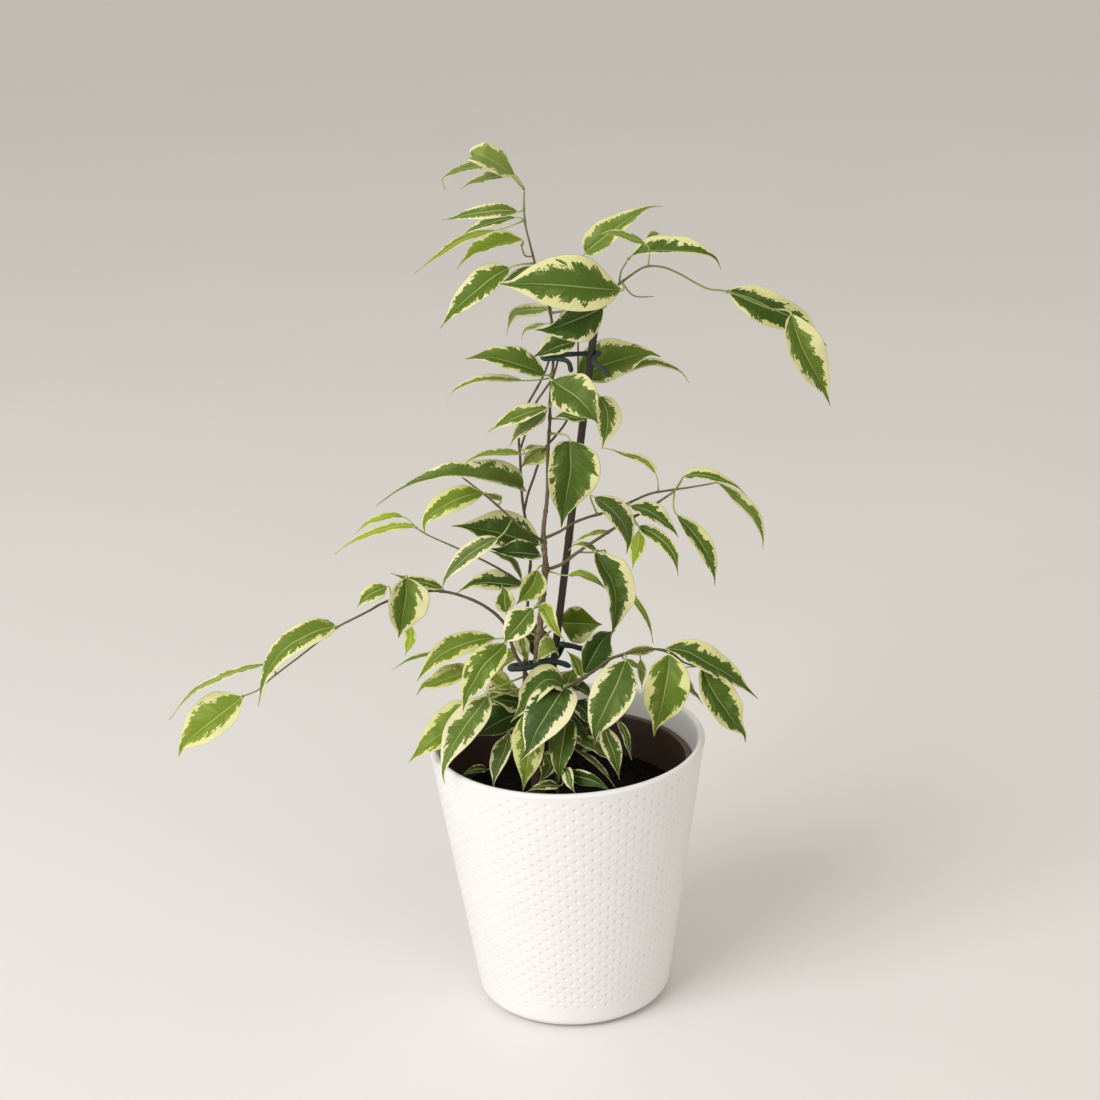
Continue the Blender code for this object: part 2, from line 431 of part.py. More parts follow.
# Leaves. Each row is a leaf's name, the wood that bears it, its blade's full width, the turn of its
# face about the midrib (degrees, 0 facing the viewer), the fold of each half, its lean (above 1 the
# fullest part sits nearer the stalk, below 1 nearer the tip), and its midrib from blade base to drip
# tip as (x, z, near) points. Leaves named small_ are one piece with their twig.
# The last five rows are leaves at the back of the plant, which are guessed
LEAVES = [
    ("small_1", "TL", 16.4, 38, 14, 0.75, ((-16, 456, 8), (-21, 459.5, 13), (-27, 463.5, 16),
        (-32.5, 466.5, 17), (-35.5, 467, 11), (-35.5, 465.5, 3))),
    ("small_2", "TL", 7.4, 48, 18, 1, ((-22, 458.5, 0), (-28.5, 461, 1), (-36.5, 460.5, 2),
        (-44, 459, 4), (-51.5, 455.5, 6), (-51, 450, 6))),
    ("small_3", "TL", 7.9, 51, 22, 1, ((-19, 456, 4), (-25, 455.5, 6), (-31.5, 454, 8), (-39, 452, 10),
        (-43.5, 449.5, 10))),
    ("small_4", "TL", 8.0, 8, 15, 1, ((-15.5, 437.5, 6), (-23, 438.5, 10), (-31, 438, 12),
        (-40, 437, 12), (-48, 435.5, 12), (-53.5, 434.5, 12))),
    ("small_5", "TL", 9.0, 43, 22, 1, ((-16.5, 434.5, -6), (-23, 433.5, -8), (-31.5, 431.5, -9),
        (-39, 429, -10), (-43.5, 426, -12))),
    ("small_6", "TL", 4.3, 20, 18, 1, ((-26.5, 428.5, 14), (-37.5, 426.5, 18), (-46.5, 423, 22),
        (-57.5, 416, 26), (-68.5, 408, 28))),
    ("small_7", "TL", 16.2, 54, 28, 1, ((-13.5, 423, 4), (-25.5, 421, 6), (-37, 417.5, 8),
        (-43.5, 413, 10), (-47, 409.5, 10))),
    ("small_12", "T7", 5.0, 20, 20, 1, ((48, 419, 10), (40, 422.5, 14), (32, 425, 18), (22.5, 424, 22))),
    ("small_12b", "T7", 7.0, 24, 10, 1, ((48.5, 420, -2), (52.5, 422.5, -10), (55.5, 424, -18))),
    ("small_13", "T7", 20.0, -59, 24, 1, ((41.5, 413, 0), (49.5, 415, 3), (62.5, 414.5, 8),
        (75, 413.5, 10), (83, 410, 10), (86.5, 404, 10))),
    ("small_14", "T7", 18.6, 13, 20, 1.1, ((90.5, 393, 14), (103, 388, 14), (113, 382.5, 12),
        (125.5, 376.5, 8), (133, 370, 4), (140, 362.5, 0))),
    ("small_15", "T7", 21.8, -27, 22, 1, ((122, 379.5, 24), (124, 371.5, 28), (127.5, 361.5, 30),
        (132, 352.5, 30), (138, 341, 28), (142, 330.5, 26))),
    ("leaf_8", "M", 17.4, 31, 20, 1.1, ((-20.5, 409, 8), (-29, 404.5, 10), (-37.5, 398, 10),
        (-49, 388.5, 8), (-57, 379, 5))),
    ("small_9", "M", 9.2, -32, 30, 1, ((-8, 409.5, -4), (-15.5, 406.5, -6), (-24.5, 402, -8))),
    ("leaf_10", "T7", 31.3, 20, 20, 0.8, ((35.5, 395.5, 10), (21.5, 397, 18), (6.5, 399, 23),
        (-10.5, 400.5, 23), (-21.5, 400.5, 20), (-26, 401, 18))),
    ("leaf_11", "SB", 16.7, -30, 26, 1.4, ((18, 415.5, -4), (26, 421.5, -4), (33.5, 427, -4),
        (42, 433, -6), (50, 437, -8), (57, 437.5, -8))),
    ("leaf_16", "M", 24.5, -27, 22, 1, ((26, 386.5, 4), (18.5, 383.5, 8), (10.5, 380.5, 14),
        (0, 377, 20), (-8.5, 376.5, 22))),
    ("small_17", "M", 7.0, 0, 15, 1, ((-0.5, 387.5, -4), (-10.5, 387, -7), (-18, 386, -8),
        (-21, 382.5, -8), (-23.5, 374.5, -8))),
    ("small_17b", "M", 3.1, 0, 12, 1, ((-3.5, 379.5, -8), (-9, 378.5, -8), (-14, 376.5, -8),
        (-16, 371.5, -8))),
    ("small_18", "M", 15.9, 30, 30, 1, ((11.5, 369.5, 0), (3.5, 367.5, 2), (-4, 364.5, 4), (-11, 362, 4))),
    ("small_19", "SB", 26.2, -24, 25, 1, ((12.5, 350.5, -15), (20.5, 354.5, -17), (29, 357.5, -18),
        (38.5, 360, -18), (47.5, 362, -18), (55, 360, -18))),
    ("small_20", "SB", 8.0, -52, 18, 1, ((30, 349, -28), (38.5, 353.5, -30), (50, 356.5, -31),
        (57.5, 355, -32), (65, 351.5, -33), (69.5, 345.5, -33))),
    ("leaf_21", "M", 17.9, 40, 25, 0.85, ((-4.5, 352.5, 7), (-11.5, 356, 12), (-21, 359.5, 16),
        (-31, 362.5, 17), (-39, 363, 17), (-45, 362.5, 16))),
    ("leaf_22", "M", 8.1, 56, 18, 1, ((-16, 350, 8), (-29.5, 351, 14), (-40, 350.5, 18),
        (-49.5, 347, 22), (-54, 343, 22), (-56.5, 337.5, 22))),
    ("leaf_23", "M", 23.3, -13, 15, 0.8, ((-1, 349.5, 12), (5, 345, 18), (11.5, 340, 26),
        (17, 333.5, 29), (22, 325.5, 28))),
    ("leaf_24", "M", 14.6, -19, 18, 1, ((23, 340, 12), (26, 334.5, 14), (27, 327.5, 14),
        (26, 320.5, 13), (23.5, 311.5, 12))),
    ("leaf_25", "M", 11.1, 33, 20, 0.9, ((-4, 335, 8), (-11.5, 333.5, 10), (-20, 330.5, 11),
        (-27.5, 327.5, 12), (-35.5, 323, 12))),
    ("leaf_26", "SM", 16.4, 55, 12, 1, ((-5, 332.5, 0), (-13, 326.5, 4), (-20, 321, 6),
        (-24.5, 314.5, 6))),
    ("small_27", "M", 8.2, 37, 20, 1, ((14, 328, 0), (8.5, 329.5, 2), (3.5, 330.5, 4), (-1, 329, 6))),
    ("small_28a", "SB", 2.4, -27, 10, 1, ((-11.5, 315, -4), (-13.5, 314.5, -2), (-16, 313.5, 0),
        (-18, 311.5, 0))),
    ("small_28b", "SB", 12.8, -27, 25, 1, ((-4.5, 313.5, -8), (-11, 310.5, -8), (-16, 306.5, -8),
        (-19, 303, -8))),
    ("leaf_29", "M", 30.3, -21, 22, 1.2, ((7, 316.5, 12), (7, 309.5, 16), (7, 301.5, 18),
        (5, 290.5, 18), (3.5, 283, 16), (2, 276, 14), (1, 269.5, 12))),
    ("small_30", "T4", 5.0, 25, 18, 1.5, ((51, 297.5, 0), (48.5, 301.5, -2), (43, 305.5, -3),
        (34.5, 308.5, -4), (29, 311, -3), (23.5, 312.5, -2))),
    ("leaf_31", "S", 23.0, 52, 32, 1.7, ((-18, 291.5, -2), (-27, 295, 3), (-36.5, 297.5, 8),
        (-46.5, 299.5, 10), (-56, 300.5, 12), (-64, 299.5, 12), (-74, 297, 12), (-83.5, 293, 12),
        (-95.5, 285, 12))),
    ("small_32", "S", 7.1, 52, 20, 1, ((-17.5, 310.5, 0), (-26, 311, 2), (-33.5, 311, 4), (-41, 310, 6),
        (-46.5, 307.5, 9), (-48, 305, 11))),
    ("leaf_33", "T3", 14.5, 24, 16, 0.8, ((-38.5, 290, 10), (-44.5, 289.5, 14), (-52, 287.5, 19),
        (-59.5, 284, 22), (-66.5, 279.5, 24), (-70.5, 274.5, 24), (-70.5, 268.5, 24))),
    ("small_33b", "T3", 8.2, 60, 10, 1, ((-30, 285.5, 4), (-34.5, 288, 0), (-39, 290.5, -4))),
    ("small_34a", "T2", 4.7, 34, 18, 1, ((-81.5, 278.5, 12), (-86.5, 279.5, 14), (-94.5, 278, 16),
        (-101.5, 275, 16), (-107.5, 270, 16))),
    ("small_34b", "T2", 4.9, 24, 14, 1.2, ((-75.5, 273, 16), (-85.5, 273.5, 18), (-99.5, 270, 20),
        (-111.5, 264.5, 20), (-119, 259, 20))),
    ("leaf_35", "M", 26.1, 31, 25, 1, ((-11, 260.5, 1), (-21.5, 264, 1), (-31.5, 267.5, 2),
        (-43, 270.5, 3), (-50.5, 272, 4), (-56.5, 272.5, 4))),
    ("leaf_36", "T3", 11.5, 24, 20, 1, ((-32.5, 265, 18), (-39.5, 261.5, 22), (-47.5, 256.5, 24),
        (-55.5, 249.5, 26), (-60.5, 244, 26), (-63.5, 237, 26))),
    ("leaf_37", "M", 15.4, 42, 25, 1, ((-10.5, 254.5, 8), (-20.5, 256, 14), (-29.5, 257, 16),
        (-38, 259.5, 16))),
    ("small_37b", "T2", 9.8, 68, 12, 1, ((-21, 241.5, 3), (-26, 251, -1), (-32, 255, -3), (-39, 259, -4))),
    ("leaf_38", "T4", 18.9, -50, 12, 1, ((19, 285.5, 18), (27.5, 278.5, 22), (33.5, 270, 24),
        (36, 262, 24), (35, 253.5, 22))),
    ("small_39", "T4", 14.8, -50, 12, 1, ((38, 280, 10), (47.5, 276.5, 14), (55.5, 270, 17),
        (60, 265.5, 18), (62.5, 261.5, 17))),
    ("small_40", "T5", 7.8, -5, 14, 1, ((41.5, 268.5, 10), (49, 264.5, 14), (56, 258, 16),
        (60.5, 250, 16), (62, 240, 14))),
    ("small_40b", "T5", 11.5, 40, 10, 1, ((42, 266, 14), (41.5, 259, 16), (39.5, 252.5, 16),
        (38, 245, 16))),
    ("small_41", "T4", 12.2, -30, 20, 0.9, ((62, 274, 2), (70, 264, 4), (75.5, 255.5, 6),
        (79.5, 246.5, 6), (81, 239.5, 4), (81.5, 233.5, 4))),
    ("small_42", "T5", 10.4, -53, 20, 1.3, ((66, 295, 8), (73, 295.5, 10), (80.5, 294, 12),
        (88.5, 291, 12), (94.5, 287.5, 10), (98.5, 283, 8))),
    ("small_43", "T4", 10.8, -48, 22, 0.85, ((83.5, 291, 0), (88.5, 286.5, 2), (93.5, 281, 4),
        (99, 275.5, 6), (103.5, 269, 6), (106.5, 260.5, 6), (107, 253, 6))),
    ("small_44", "T5", 3.5, 28, 12, 1, ((26, 266.5, 4), (18, 265.5, 4), (11.5, 263, 4), (6.5, 260.5, 4))),
    ("small_44b", "T5", 4.6, 41, 16, 1, ((19.5, 255.5, 6), (14, 259, 8), (8, 259.5, 8), (4.5, 256.5, 8))),
    ("leaf_45", "T5", 23.0, -35, 34, 1, ((18.5, 255, 14), (22.5, 246.5, 18), (26.5, 239, 20),
        (28.5, 229.5, 22), (28, 220, 22), (27, 213, 20), (25.5, 206.5, 18))),
    ("leaf_46", "M", 7.6, -47, 24, 1, ((4, 242.5, 6), (10, 242.5, 10), (16.5, 239.5, 12),
        (21, 236.5, 12), (24, 233.5, 10))),
    ("small_47", "T5", 4.3, -28, 12, 1, ((33, 238, -2), (39.5, 226, 0), (43.5, 219, 0), (46.5, 211, 0),
        (48, 202, 0))),
    ("small_48", "T1", 10.3, 14, 12, 1, ((-92.5, 240, 14), (-97, 238, 16), (-103, 235, 18),
        (-109, 229, 18))),
    ("small_49a", "T1", 25.6, -24, 25, 1, ((-82, 244.5, 20), (-82.5, 235, 24), (-84.5, 225.5, 26),
        (-86, 217.5, 26), (-88, 210.5, 24))),
    ("small_49b", "T1", 6.6, 17, 12, 1, ((-63, 238, 10), (-71.5, 241, 14), (-80.5, 243.5, 14),
        (-90, 247.5, 12))),
    ("small_51", "T1", 6.7, 10, 10, 1, ((-82, 218, 18), (-81.5, 211, 20), (-83, 205.5, 20),
        (-85, 200, 20))),
    ("small_56", "T1", 15.6, 26, 15, 1.25, ((-121, 218.5, 18), (-131.5, 216, 22), (-144, 210, 26),
        (-153, 202.5, 28), (-161, 189.5, 30), (-165.5, 174, 30))),
    ("small_58", "T1", 4.1, 18, 14, 1, ((-159, 198.5, 24), (-173, 195.5, 28), (-187, 190.5, 30),
        (-199, 184.5, 30), (-205.5, 178.5, 30), (-214, 168, 28))),
    ("small_59", "T1", 26.3, 27, 22, 1, ((-174, 179.5, 26), (-187.5, 169, 30), (-200, 159.5, 32),
        (-207.5, 153, 32), (-211, 146, 30))),
    ("leaf_52", "T2", 14.5, 33, 25, 1, ((-21.5, 237.5, 4), (-31, 239, 3), (-39.5, 240, 3),
        (-47.5, 239, 4), (-55.5, 235, 4))),
    ("small_53", "M", 15.2, -18, 20, 1, ((-12.5, 246, 8), (-15, 238.5, 10), (-19.5, 232.5, 12),
        (-24.5, 227, 13))),
    ("small_54", "M", 17.2, 15, 20, 0.9, ((-15.5, 224.5, 24), (-19.5, 220, 27), (-24, 214.5, 30),
        (-28.5, 209.5, 31), (-32, 205, 29))),
    ("small_54c", "M", 11.5, 15, 10, 1, ((-30, 223, 16), (-30.5, 229, 16), (-30.5, 233.5, 16),
        (-31.5, 239, 16))),
    ("leaf_55", "M", 8.2, -3, 18, 1, ((-12, 226, 12), (-9, 223.5, 20), (-7, 219, 24), (-4.5, 213, 26),
        (1, 205, 26))),
    ("small_55b", "M", 23.0, 10, 8, 1, ((-8, 210, -14), (-10.5, 208, -14), (-16, 206, -14),
        (-22, 207, -14))),
    ("small_55c", "M", 9.8, 30, 8, 1, ((-23, 211.5, -4), (-22, 204.5, -6), (-20.5, 198, -6),
        (-18.5, 192.5, -6))),
    ("small_55d", "M", 13.1, 40, 12, 1, ((-4, 201, 10), (-7.5, 202, 16), (-11, 199, 18), (-15, 194, 18))),
    ("leaf_76", "M", 22.4, 20, 14, 0.85, ((-1, 216, -18), (3, 215.5, -16), (9.5, 215, -14),
        (15.5, 214.5, -12), (21, 214, -10))),
    ("leaf_77", "T6", 19.1, 23, 20, 0.8, ((10.5, 186, 16), (14.5, 194, 12), (19, 202, 8), (23, 207, 4),
        (28, 210.5, 1))),
    ("small_77d", "T6", 6.6, 0, 12, 1, ((9, 184.5, 8), (7.5, 190.5, 6), (5, 195.5, 5), (1.5, 199.5, 4))),
    ("small_79", "T6", 5.9, -22, 12, 1, ((49, 198.5, 6), (43.5, 198.5, 6), (37.5, 198, 8),
        (33, 197, 10), (30, 195.5, 10))),
    ("small_79b", "T6", 5.0, 0, 12, 1, ((41, 193, 4), (41.5, 186.5, 2), (41.5, 181.5, 0),
        (41.5, 175.5, 0))),
    ("small_79c", "T6", 6.6, -60, 10, 1, ((33, 193, 14), (38, 189.5, 14), (44, 186.5, 12))),
    ("leaf_60", "T1", 14.2, 22, 14, 0.85, ((-36, 208, 4), (-43.5, 208, 6), (-52, 206, 8),
        (-61, 202.5, 8), (-69, 197.5, 8), (-75, 191, 8), (-79.5, 185, 6))),
    ("leaf_60b", "T1", 11.5, 72, 10, 1, ((-51, 201, -4), (-61, 200, -4), (-70, 200, -4), (-78, 199, -4),
        (-85, 196.5, -4), (-92.5, 192, -4))),
    ("leaf_61", "T1", 15.1, 38, 22, 1, ((-48.5, 189.5, 4), (-54, 188.5, 4), (-59, 187, 4),
        (-65, 185, 4), (-71, 183, 4), (-76, 182, 4), (-80, 177, 4))),
    ("leaf_62", "T1", 18.0, 18, 18, 1, ((-31, 205, 24), (-35, 200.5, 28), (-39.5, 196.5, 32),
        (-44.5, 191, 34), (-48.5, 184, 34), (-53, 176.5, 34), (-55.5, 166.5, 32))),
    ("leaf_63", "T1", 14.8, 50, 12, 1, ((-29, 179, 6), (-34.5, 182.5, 6), (-41.5, 187, 7), (-47, 189, 7))),
    ("leaf_64", "T1", 14.8, 50, 12, 1, ((-26.5, 195.5, -3), (-30.5, 194.5, -8), (-35.5, 191, -11),
        (-39, 188, -13))),
    ("leaf_66", "T1", 22.5, 35, 10, 1, ((-48, 170, 22), (-56.5, 165, 25), (-61.5, 159.5, 28),
        (-66.5, 154.5, 30), (-72.5, 150.5, 32), (-80, 144, 32), (-86.5, 137.5, 30))),
    ("leaf_67", "T1", 19.5, 25, 8, 1, ((-41.5, 175, 22), (-46, 169, 28), (-54.5, 158, 36),
        (-61, 148, 44), (-65.5, 139, 49), (-68, 130.5, 53), (-67.5, 124, 55))),
    ("leaf_68a", "M", 21.4, 25, 20, 1, ((-23, 164.5, 4), (-31, 162, 8), (-39, 158, 12),
        (-51.5, 150.5, 14))),
    ("leaf_68b", "M", 18.0, 40, 10, 1, ((-24.5, 170, 6), (-33, 172, 8), (-40, 172.5, 10))),
    ("leaf_68c", "T1", 9.8, 60, 10, 1, ((-24, 174, 8), (-31.5, 177, 8), (-38.5, 178, 8),
        (-45.5, 175.5, 8))),
    ("small_80", "LS", 14.5, 42, 20, 1, ((-31, 152.5, 22), (-34, 142, 30), (-38, 132.5, 36),
        (-40.5, 124, 40), (-41, 120, 40))),
    ("small_81", "LS", 5.0, 26, 12, 1, ((-44, 131.5, 26), (-49, 132, 32), (-55, 130, 36), (-59, 127, 38))),
    ("small_69", "T6", 23.4, 52, 10, 1, ((-0.5, 179.5, 20), (-5, 182.5, 24), (-10, 183, 26),
        (-14.5, 179.5, 28), (-19, 174, 28), (-23, 167.5, 28), (-30, 159, 26))),
    ("small_69b", "T6", 14.8, -20, 12, 1, ((1, 179, 12), (2.5, 183, 10), (4, 186.5, 8), (5, 189, 6))),
    ("small_70", "T6", 25.0, 18, 8, 1, ((-0.5, 178.5, 26), (-4, 172.5, 36), (-10.5, 162.5, 42),
        (-16.5, 152.5, 46), (-21, 142.5, 48), (-26, 136, 48))),
    ("leaf_71", "T6", 22.8, 0, 6, 1, ((33, 192.5, 30), (30.5, 185.5, 36), (27.5, 178, 40),
        (20.5, 163.5, 44), (16.5, 153.5, 44), (15, 143, 42))),
    ("leaf_72", "T6", 25.9, -12, 20, 1, ((56.5, 195, 24), (56, 187.5, 28), (54.5, 178.5, 32),
        (52.5, 168, 32), (50, 158.5, 30), (48, 152.5, 30), (47.5, 147.5, 30))),
    ("small_73", "T6", 18.3, -35, 25, 1, ((55.5, 199, 18), (66.5, 196, 20), (78, 188.5, 20),
        (87.5, 182.5, 18), (96, 175, 16), (104, 167.5, 14))),
    ("small_74", "T6", 21.4, -24, 22, 0.9, ((74, 187, 20), (77, 178.5, 24), (81.5, 169.5, 26),
        (86.5, 161.5, 26), (91, 154, 25), (96, 147.5, 24), (97, 142, 24))),
    ("small_74b", "T6", 6.0, -55, 10, 1, ((64, 184, 4), (68, 174, 4), (71, 170.5, 4), (74, 165.5, 4))),
    ("small_78a", "T6", 11.5, -50, 12, 1, ((4, 179.5, 12), (8, 177.5, 14), (11.5, 175, 14),
        (14.5, 171.5, 14))),
    ("small_78b", "LS", 14.5, -40, 12, 1, ((4.5, 169.5, 16), (8.5, 166, 20), (12, 161, 22),
        (14.5, 154.5, 22))),
    ("small_78c", "LS", 19.3, -30, 10, 1, ((1, 165, 8), (6, 159.5, 14), (10.5, 152, 18), (16, 142.5, 20))),
    ("small_82", "LS", 15.5, 12, 18, 1, ((0, 160.5, 24), (-1, 152, 32), (-3, 141, 38),
        (-4.5, 132.5, 42), (-5, 122, 42))),
    ("small_83", "LS", 17.6, 4, 10, 1, ((-23.5, 162, 28), (-21.5, 152.5, 34), (-21, 143, 40),
        (-22, 133.5, 44), (-25, 117.5, 44))),
    ("small_86", "LS", 11.0, -20, 12, 1, ((20.5, 154, 26), (22.5, 146.5, 32), (25.5, 137, 36),
        (28, 122.5, 38))),
    ("small_87", "LS", 12.8, -55, 12, 1, ((5, 147.5, 20), (12, 144.5, 26), (20, 138, 30), (28, 131, 34))),
    ("small_88", "LS", 6.6, -60, 12, 1, ((5, 141, 16), (12, 135.5, 22), (19.5, 127.5, 28),
        (25.5, 118, 34))),
    ("small_89", "LS", 11.5, 35, 12, 1, ((-12, 139, 22), (-9.5, 133.5, 28), (-12, 127.5, 34),
        (-16.5, 122.5, 38))),
    ("small_90", "LS", 6.3, -45, 12, 1, ((27.5, 158, 24), (31, 151, 28), (33, 143, 30), (35, 134, 32))),
    ("small_84", "LS", 6.1, 29, 12, 1, ((-5.5, 120, 44), (-11, 120.5, 50), (-17.5, 119.5, 54),
        (-23.5, 117, 56))),
    ("small_85", "LS", 7.9, 32, 16, 1, ((-1, 130, 40), (0.5, 125.5, 46), (1.5, 120, 50), (3.5, 115, 52))),
    ("small_96", "LS", 8.4, 13, 12, 1, ((0.5, 126.5, 36), (6.5, 125, 42), (14.5, 122, 46),
        (23.5, 115.5, 50))),
    ("small_91", "SB", 26, 0, 10, 1, ((0, 308, -10), (4, 306, -22), (8, 300, -34), (10, 290, -44))),
    ("small_92", "S", 24, 0, 10, 1, ((8, 384, -13), (11, 384, -24), (13, 381, -34), (13, 375, -43))),
    ("small_93", "M", 19, 0, 10, 1, ((-4, 397, -4), (-2, 399, -16), (1, 397, -28), (4, 391, -38))),
    ("small_94", "S", 26, 15, 10, 1, ((-24, 176, -12), (-32, 173, -24), (-40, 168, -36), (-46, 160, -46))),
    ("small_95", "LS", 22, 0, 10, 1, ((6, 150, 12), (11, 150, 0), (15, 146, -12), (19, 138, -24))),
]

# Widths and midrib thickness from base to tip
BLADE_STOPS = (0.0, 0.09, 0.21, 0.36, 0.52, 0.67, 0.79, 0.88, 1.0)
BLADE_WIDTHS = (0.05, 0.52, 0.89, 1.0, 0.89, 0.61, 0.31, 0.12, 0.035)
STALK = 1.0
LEAF_T = 0.6
DENSE = 61


def leaf_solid(row, paths, joined):
    """Vertices and faces of a leaf with its stalk, from the wood's surface to the drip tip."""
    name, host, width, turn, fold, lean, midrib = row
    spine = spline([sight(*p) for p in midrib], DENSE)
    _, centre, along, radius, is_end = nearest(paths, spine[0])
    toward = spine[0] - (spine[2] - spine[0]).normalized() * 2.0
    if joined:
        start = centre - along * (0.8 if is_end else 0.0)
    else:
        start = stand_off(paths, centre, toward, STALK * 0.6)
    base = spine[0]
    lead = (base - start).length
    out_dir = (toward - centre).normalized()
    c1 = start + out_dir * lead * 0.35
    c2 = base - (spine[2] - spine[0]).normalized() * lead * 0.35
    stalk = []
    steps = 2 if lead < 9 else 3
    for i in range(steps):
        t = i / steps
        point = start * (1 - t) ** 3 + c1 * 3 * t * (1 - t) ** 2
        stalk.append(point + c2 * 3 * t * t * (1 - t) + base * t ** 3)
    rings = [(p, STALK, STALK * 0.9) for p in stalk]
    if joined:
        rings[0] = (start, radius * 0.9, radius * 0.8)
    for s, w in zip(BLADE_STOPS, BLADE_WIDTHS):
        place = spine[round(s ** lean * (DENSE - 1))]
        rings.append((place, max(width * w, 0.7), LEAF_T if s < 0.9 else 0.5))
    line = [r[0] for r in rings]
    runs = [(line[min(i + 1, len(line) - 1)] - line[max(i - 1, 0)]).normalized() for i in range(len(line))]
    ups = []
    for p, run in list(zip(line, runs))[steps:]:
        view = (EYE - p).normalized()
        face_on = (view - run * view.dot(run)).normalized()
        ups.append(Matrix.Rotation(math.radians(turn), 3, run) @ face_on)
    for run in runs[:steps][::-1]:
        ups.insert(0, (ups[0] - run * ups[0].dot(run)).normalized())
    verts, faces = [], []
    for i, ((p, w, t), run, up) in enumerate(zip(rings, runs, ups)):
        side = run.cross(up)
        cup = math.radians(fold) if i >= steps else 0.0
        verts += [
            p + (side * math.cos(cup) + up * math.sin(cup)) * (w / 2),
            p + up * (t / 2),
            p + (-side * math.cos(cup) + up * math.sin(cup)) * (w / 2),
            p - up * (t / 2),
        ]
    for k in range(len(rings) - 1):
        for i in range(4):
            j = (i + 1) % 4
            faces.append([k * 4 + i, k * 4 + j, (k + 1) * 4 + j, (k + 1) * 4 + i])
    faces.append([3, 2, 1, 0])
    last = (len(rings) - 1) * 4
    faces.append([last, last + 1, last + 2, last + 3])
    return verts, faces


# Which paths make up each woody object, and which wood a leaf row's second word means
TOP_LEFT = grown_from([MAIN], TOP_LEFT)
TOP_RIGHT = grown_from([SECOND_MID], TOP_RIGHT)
LEFT_LOW = grown_from([MAIN], LEFT_LOW)
RIGHT_UP = grown_from([MAIN], RIGHT_UP)
RIGHT_MID = grown_from([MAIN], RIGHT_MID)
RIGHT_LOW = grown_from([MAIN], RIGHT_LOW)
WOOD = {
    "main_stem": [MAIN, LEFT_TWIG],
    "second_stem": [SECOND, SECOND_BACK, SECOND_MID],
    "shoot_low_left": [LOW_LEFT],
    "shoot_low_middle": [LOW_SHOOT, LOW_SHOOT_LEFT, LOW_SHOOT_RIGHT],
    "shoot_top_left": [TOP_LEFT, TOP_LEFT_FORK],
    "shoot_top_right": [TOP_RIGHT, TOP_RIGHT_FORK, TOP_RIGHT_STUB],
    "twig_left": [LEFT_LOW],
    "twig_right_upper": [RIGHT_UP],
    "twig_right_middle": [RIGHT_MID, RIGHT_MID_FORK],
    "twig_right_low": [RIGHT_LOW],
}
HOSTS = {
    "M": ("main_stem", [MAIN]),
    "T3": ("main_stem", [LEFT_TWIG]),
    "S": ("second_stem", [SECOND, SECOND_MID]),
    "SB": ("second_stem", [SECOND_BACK]),
    "SM": ("second_stem", [SECOND_MID]),
    "T1": ("shoot_low_left", [LOW_LEFT]),
    "LS": ("shoot_low_middle", [LOW_SHOOT, LOW_SHOOT_LEFT, LOW_SHOOT_RIGHT]),
    "TL": ("shoot_top_left", [TOP_LEFT, TOP_LEFT_FORK]),
    "T7": ("shoot_top_right", [TOP_RIGHT, TOP_RIGHT_FORK]),
    "T2": ("twig_left", [LEFT_LOW]),
    "T4": ("twig_right_upper", [RIGHT_UP]),
    "T5": ("twig_right_middle", [RIGHT_MID, RIGHT_MID_FORK]),
    "T6": ("twig_right_low", [RIGHT_LOW]),
}

# Small leaves and the leaves of a shoot's end are one grown piece with their twig; the large
# leaves borne singly along the stems are pieces of their own
for name, paths in WOOD.items():
    line, radii = paths[0]
    body = add(name, *tube(line, radii), origin=line[0].copy(), mat=bark)
    for line, radii in paths[1:]:
        work("UNION", body, add("twig", *tube(line, radii), origin=line[0].copy()))
    for row in LEAVES:
        if HOSTS[row[1]][0] == name and row[0].startswith("small"):
            verts, faces = leaf_solid(row, HOSTS[row[1]][1], True)
            work("UNION", body, add("small_leaf", verts, faces, origin=verts[0].copy()))
for row in LEAVES:
    if row[0].startswith("leaf"):
        verts, faces = leaf_solid(row, HOSTS[row[1]][1], False)
        add(row[0], verts, faces, origin=verts[0].copy(), mat=leaf_green)

# The cane: straight, leaning to the right, pushed well into the soil
cane_low, cane_high = sight(-3.0, 210, -4), sight(21.0, 373, -4)
lean = (cane_high - cane_low) / (cane_high.z - cane_low.z)
cane_foot = cane_low + lean * (CANE_FOOT_Z - cane_low.z)
cane_top = cane_low + lean * (382.0 - cane_low.z)
cane_line = [cane_foot.lerp(cane_top, i / 4) for i in range(5)]
add("support_cane", *tube(cane_line, [CANE_R] * 5, 10), origin=cane_foot.copy(), mat=cane_brown, smooth=False)


def cane_at(z):
    return cane_low + lean * (z - cane_low.z)


def round_cane(z, turn, clear=GAP):
    """A place on a tie that hugs the cane: turn is in degrees, 0 to the right and 90 to the back."""
    r = CANE_R + TIE_R + clear + 0.1
    return cane_at(z) + Vector((math.cos(math.radians(turn)) * r, math.sin(math.radians(turn)) * r, 0))


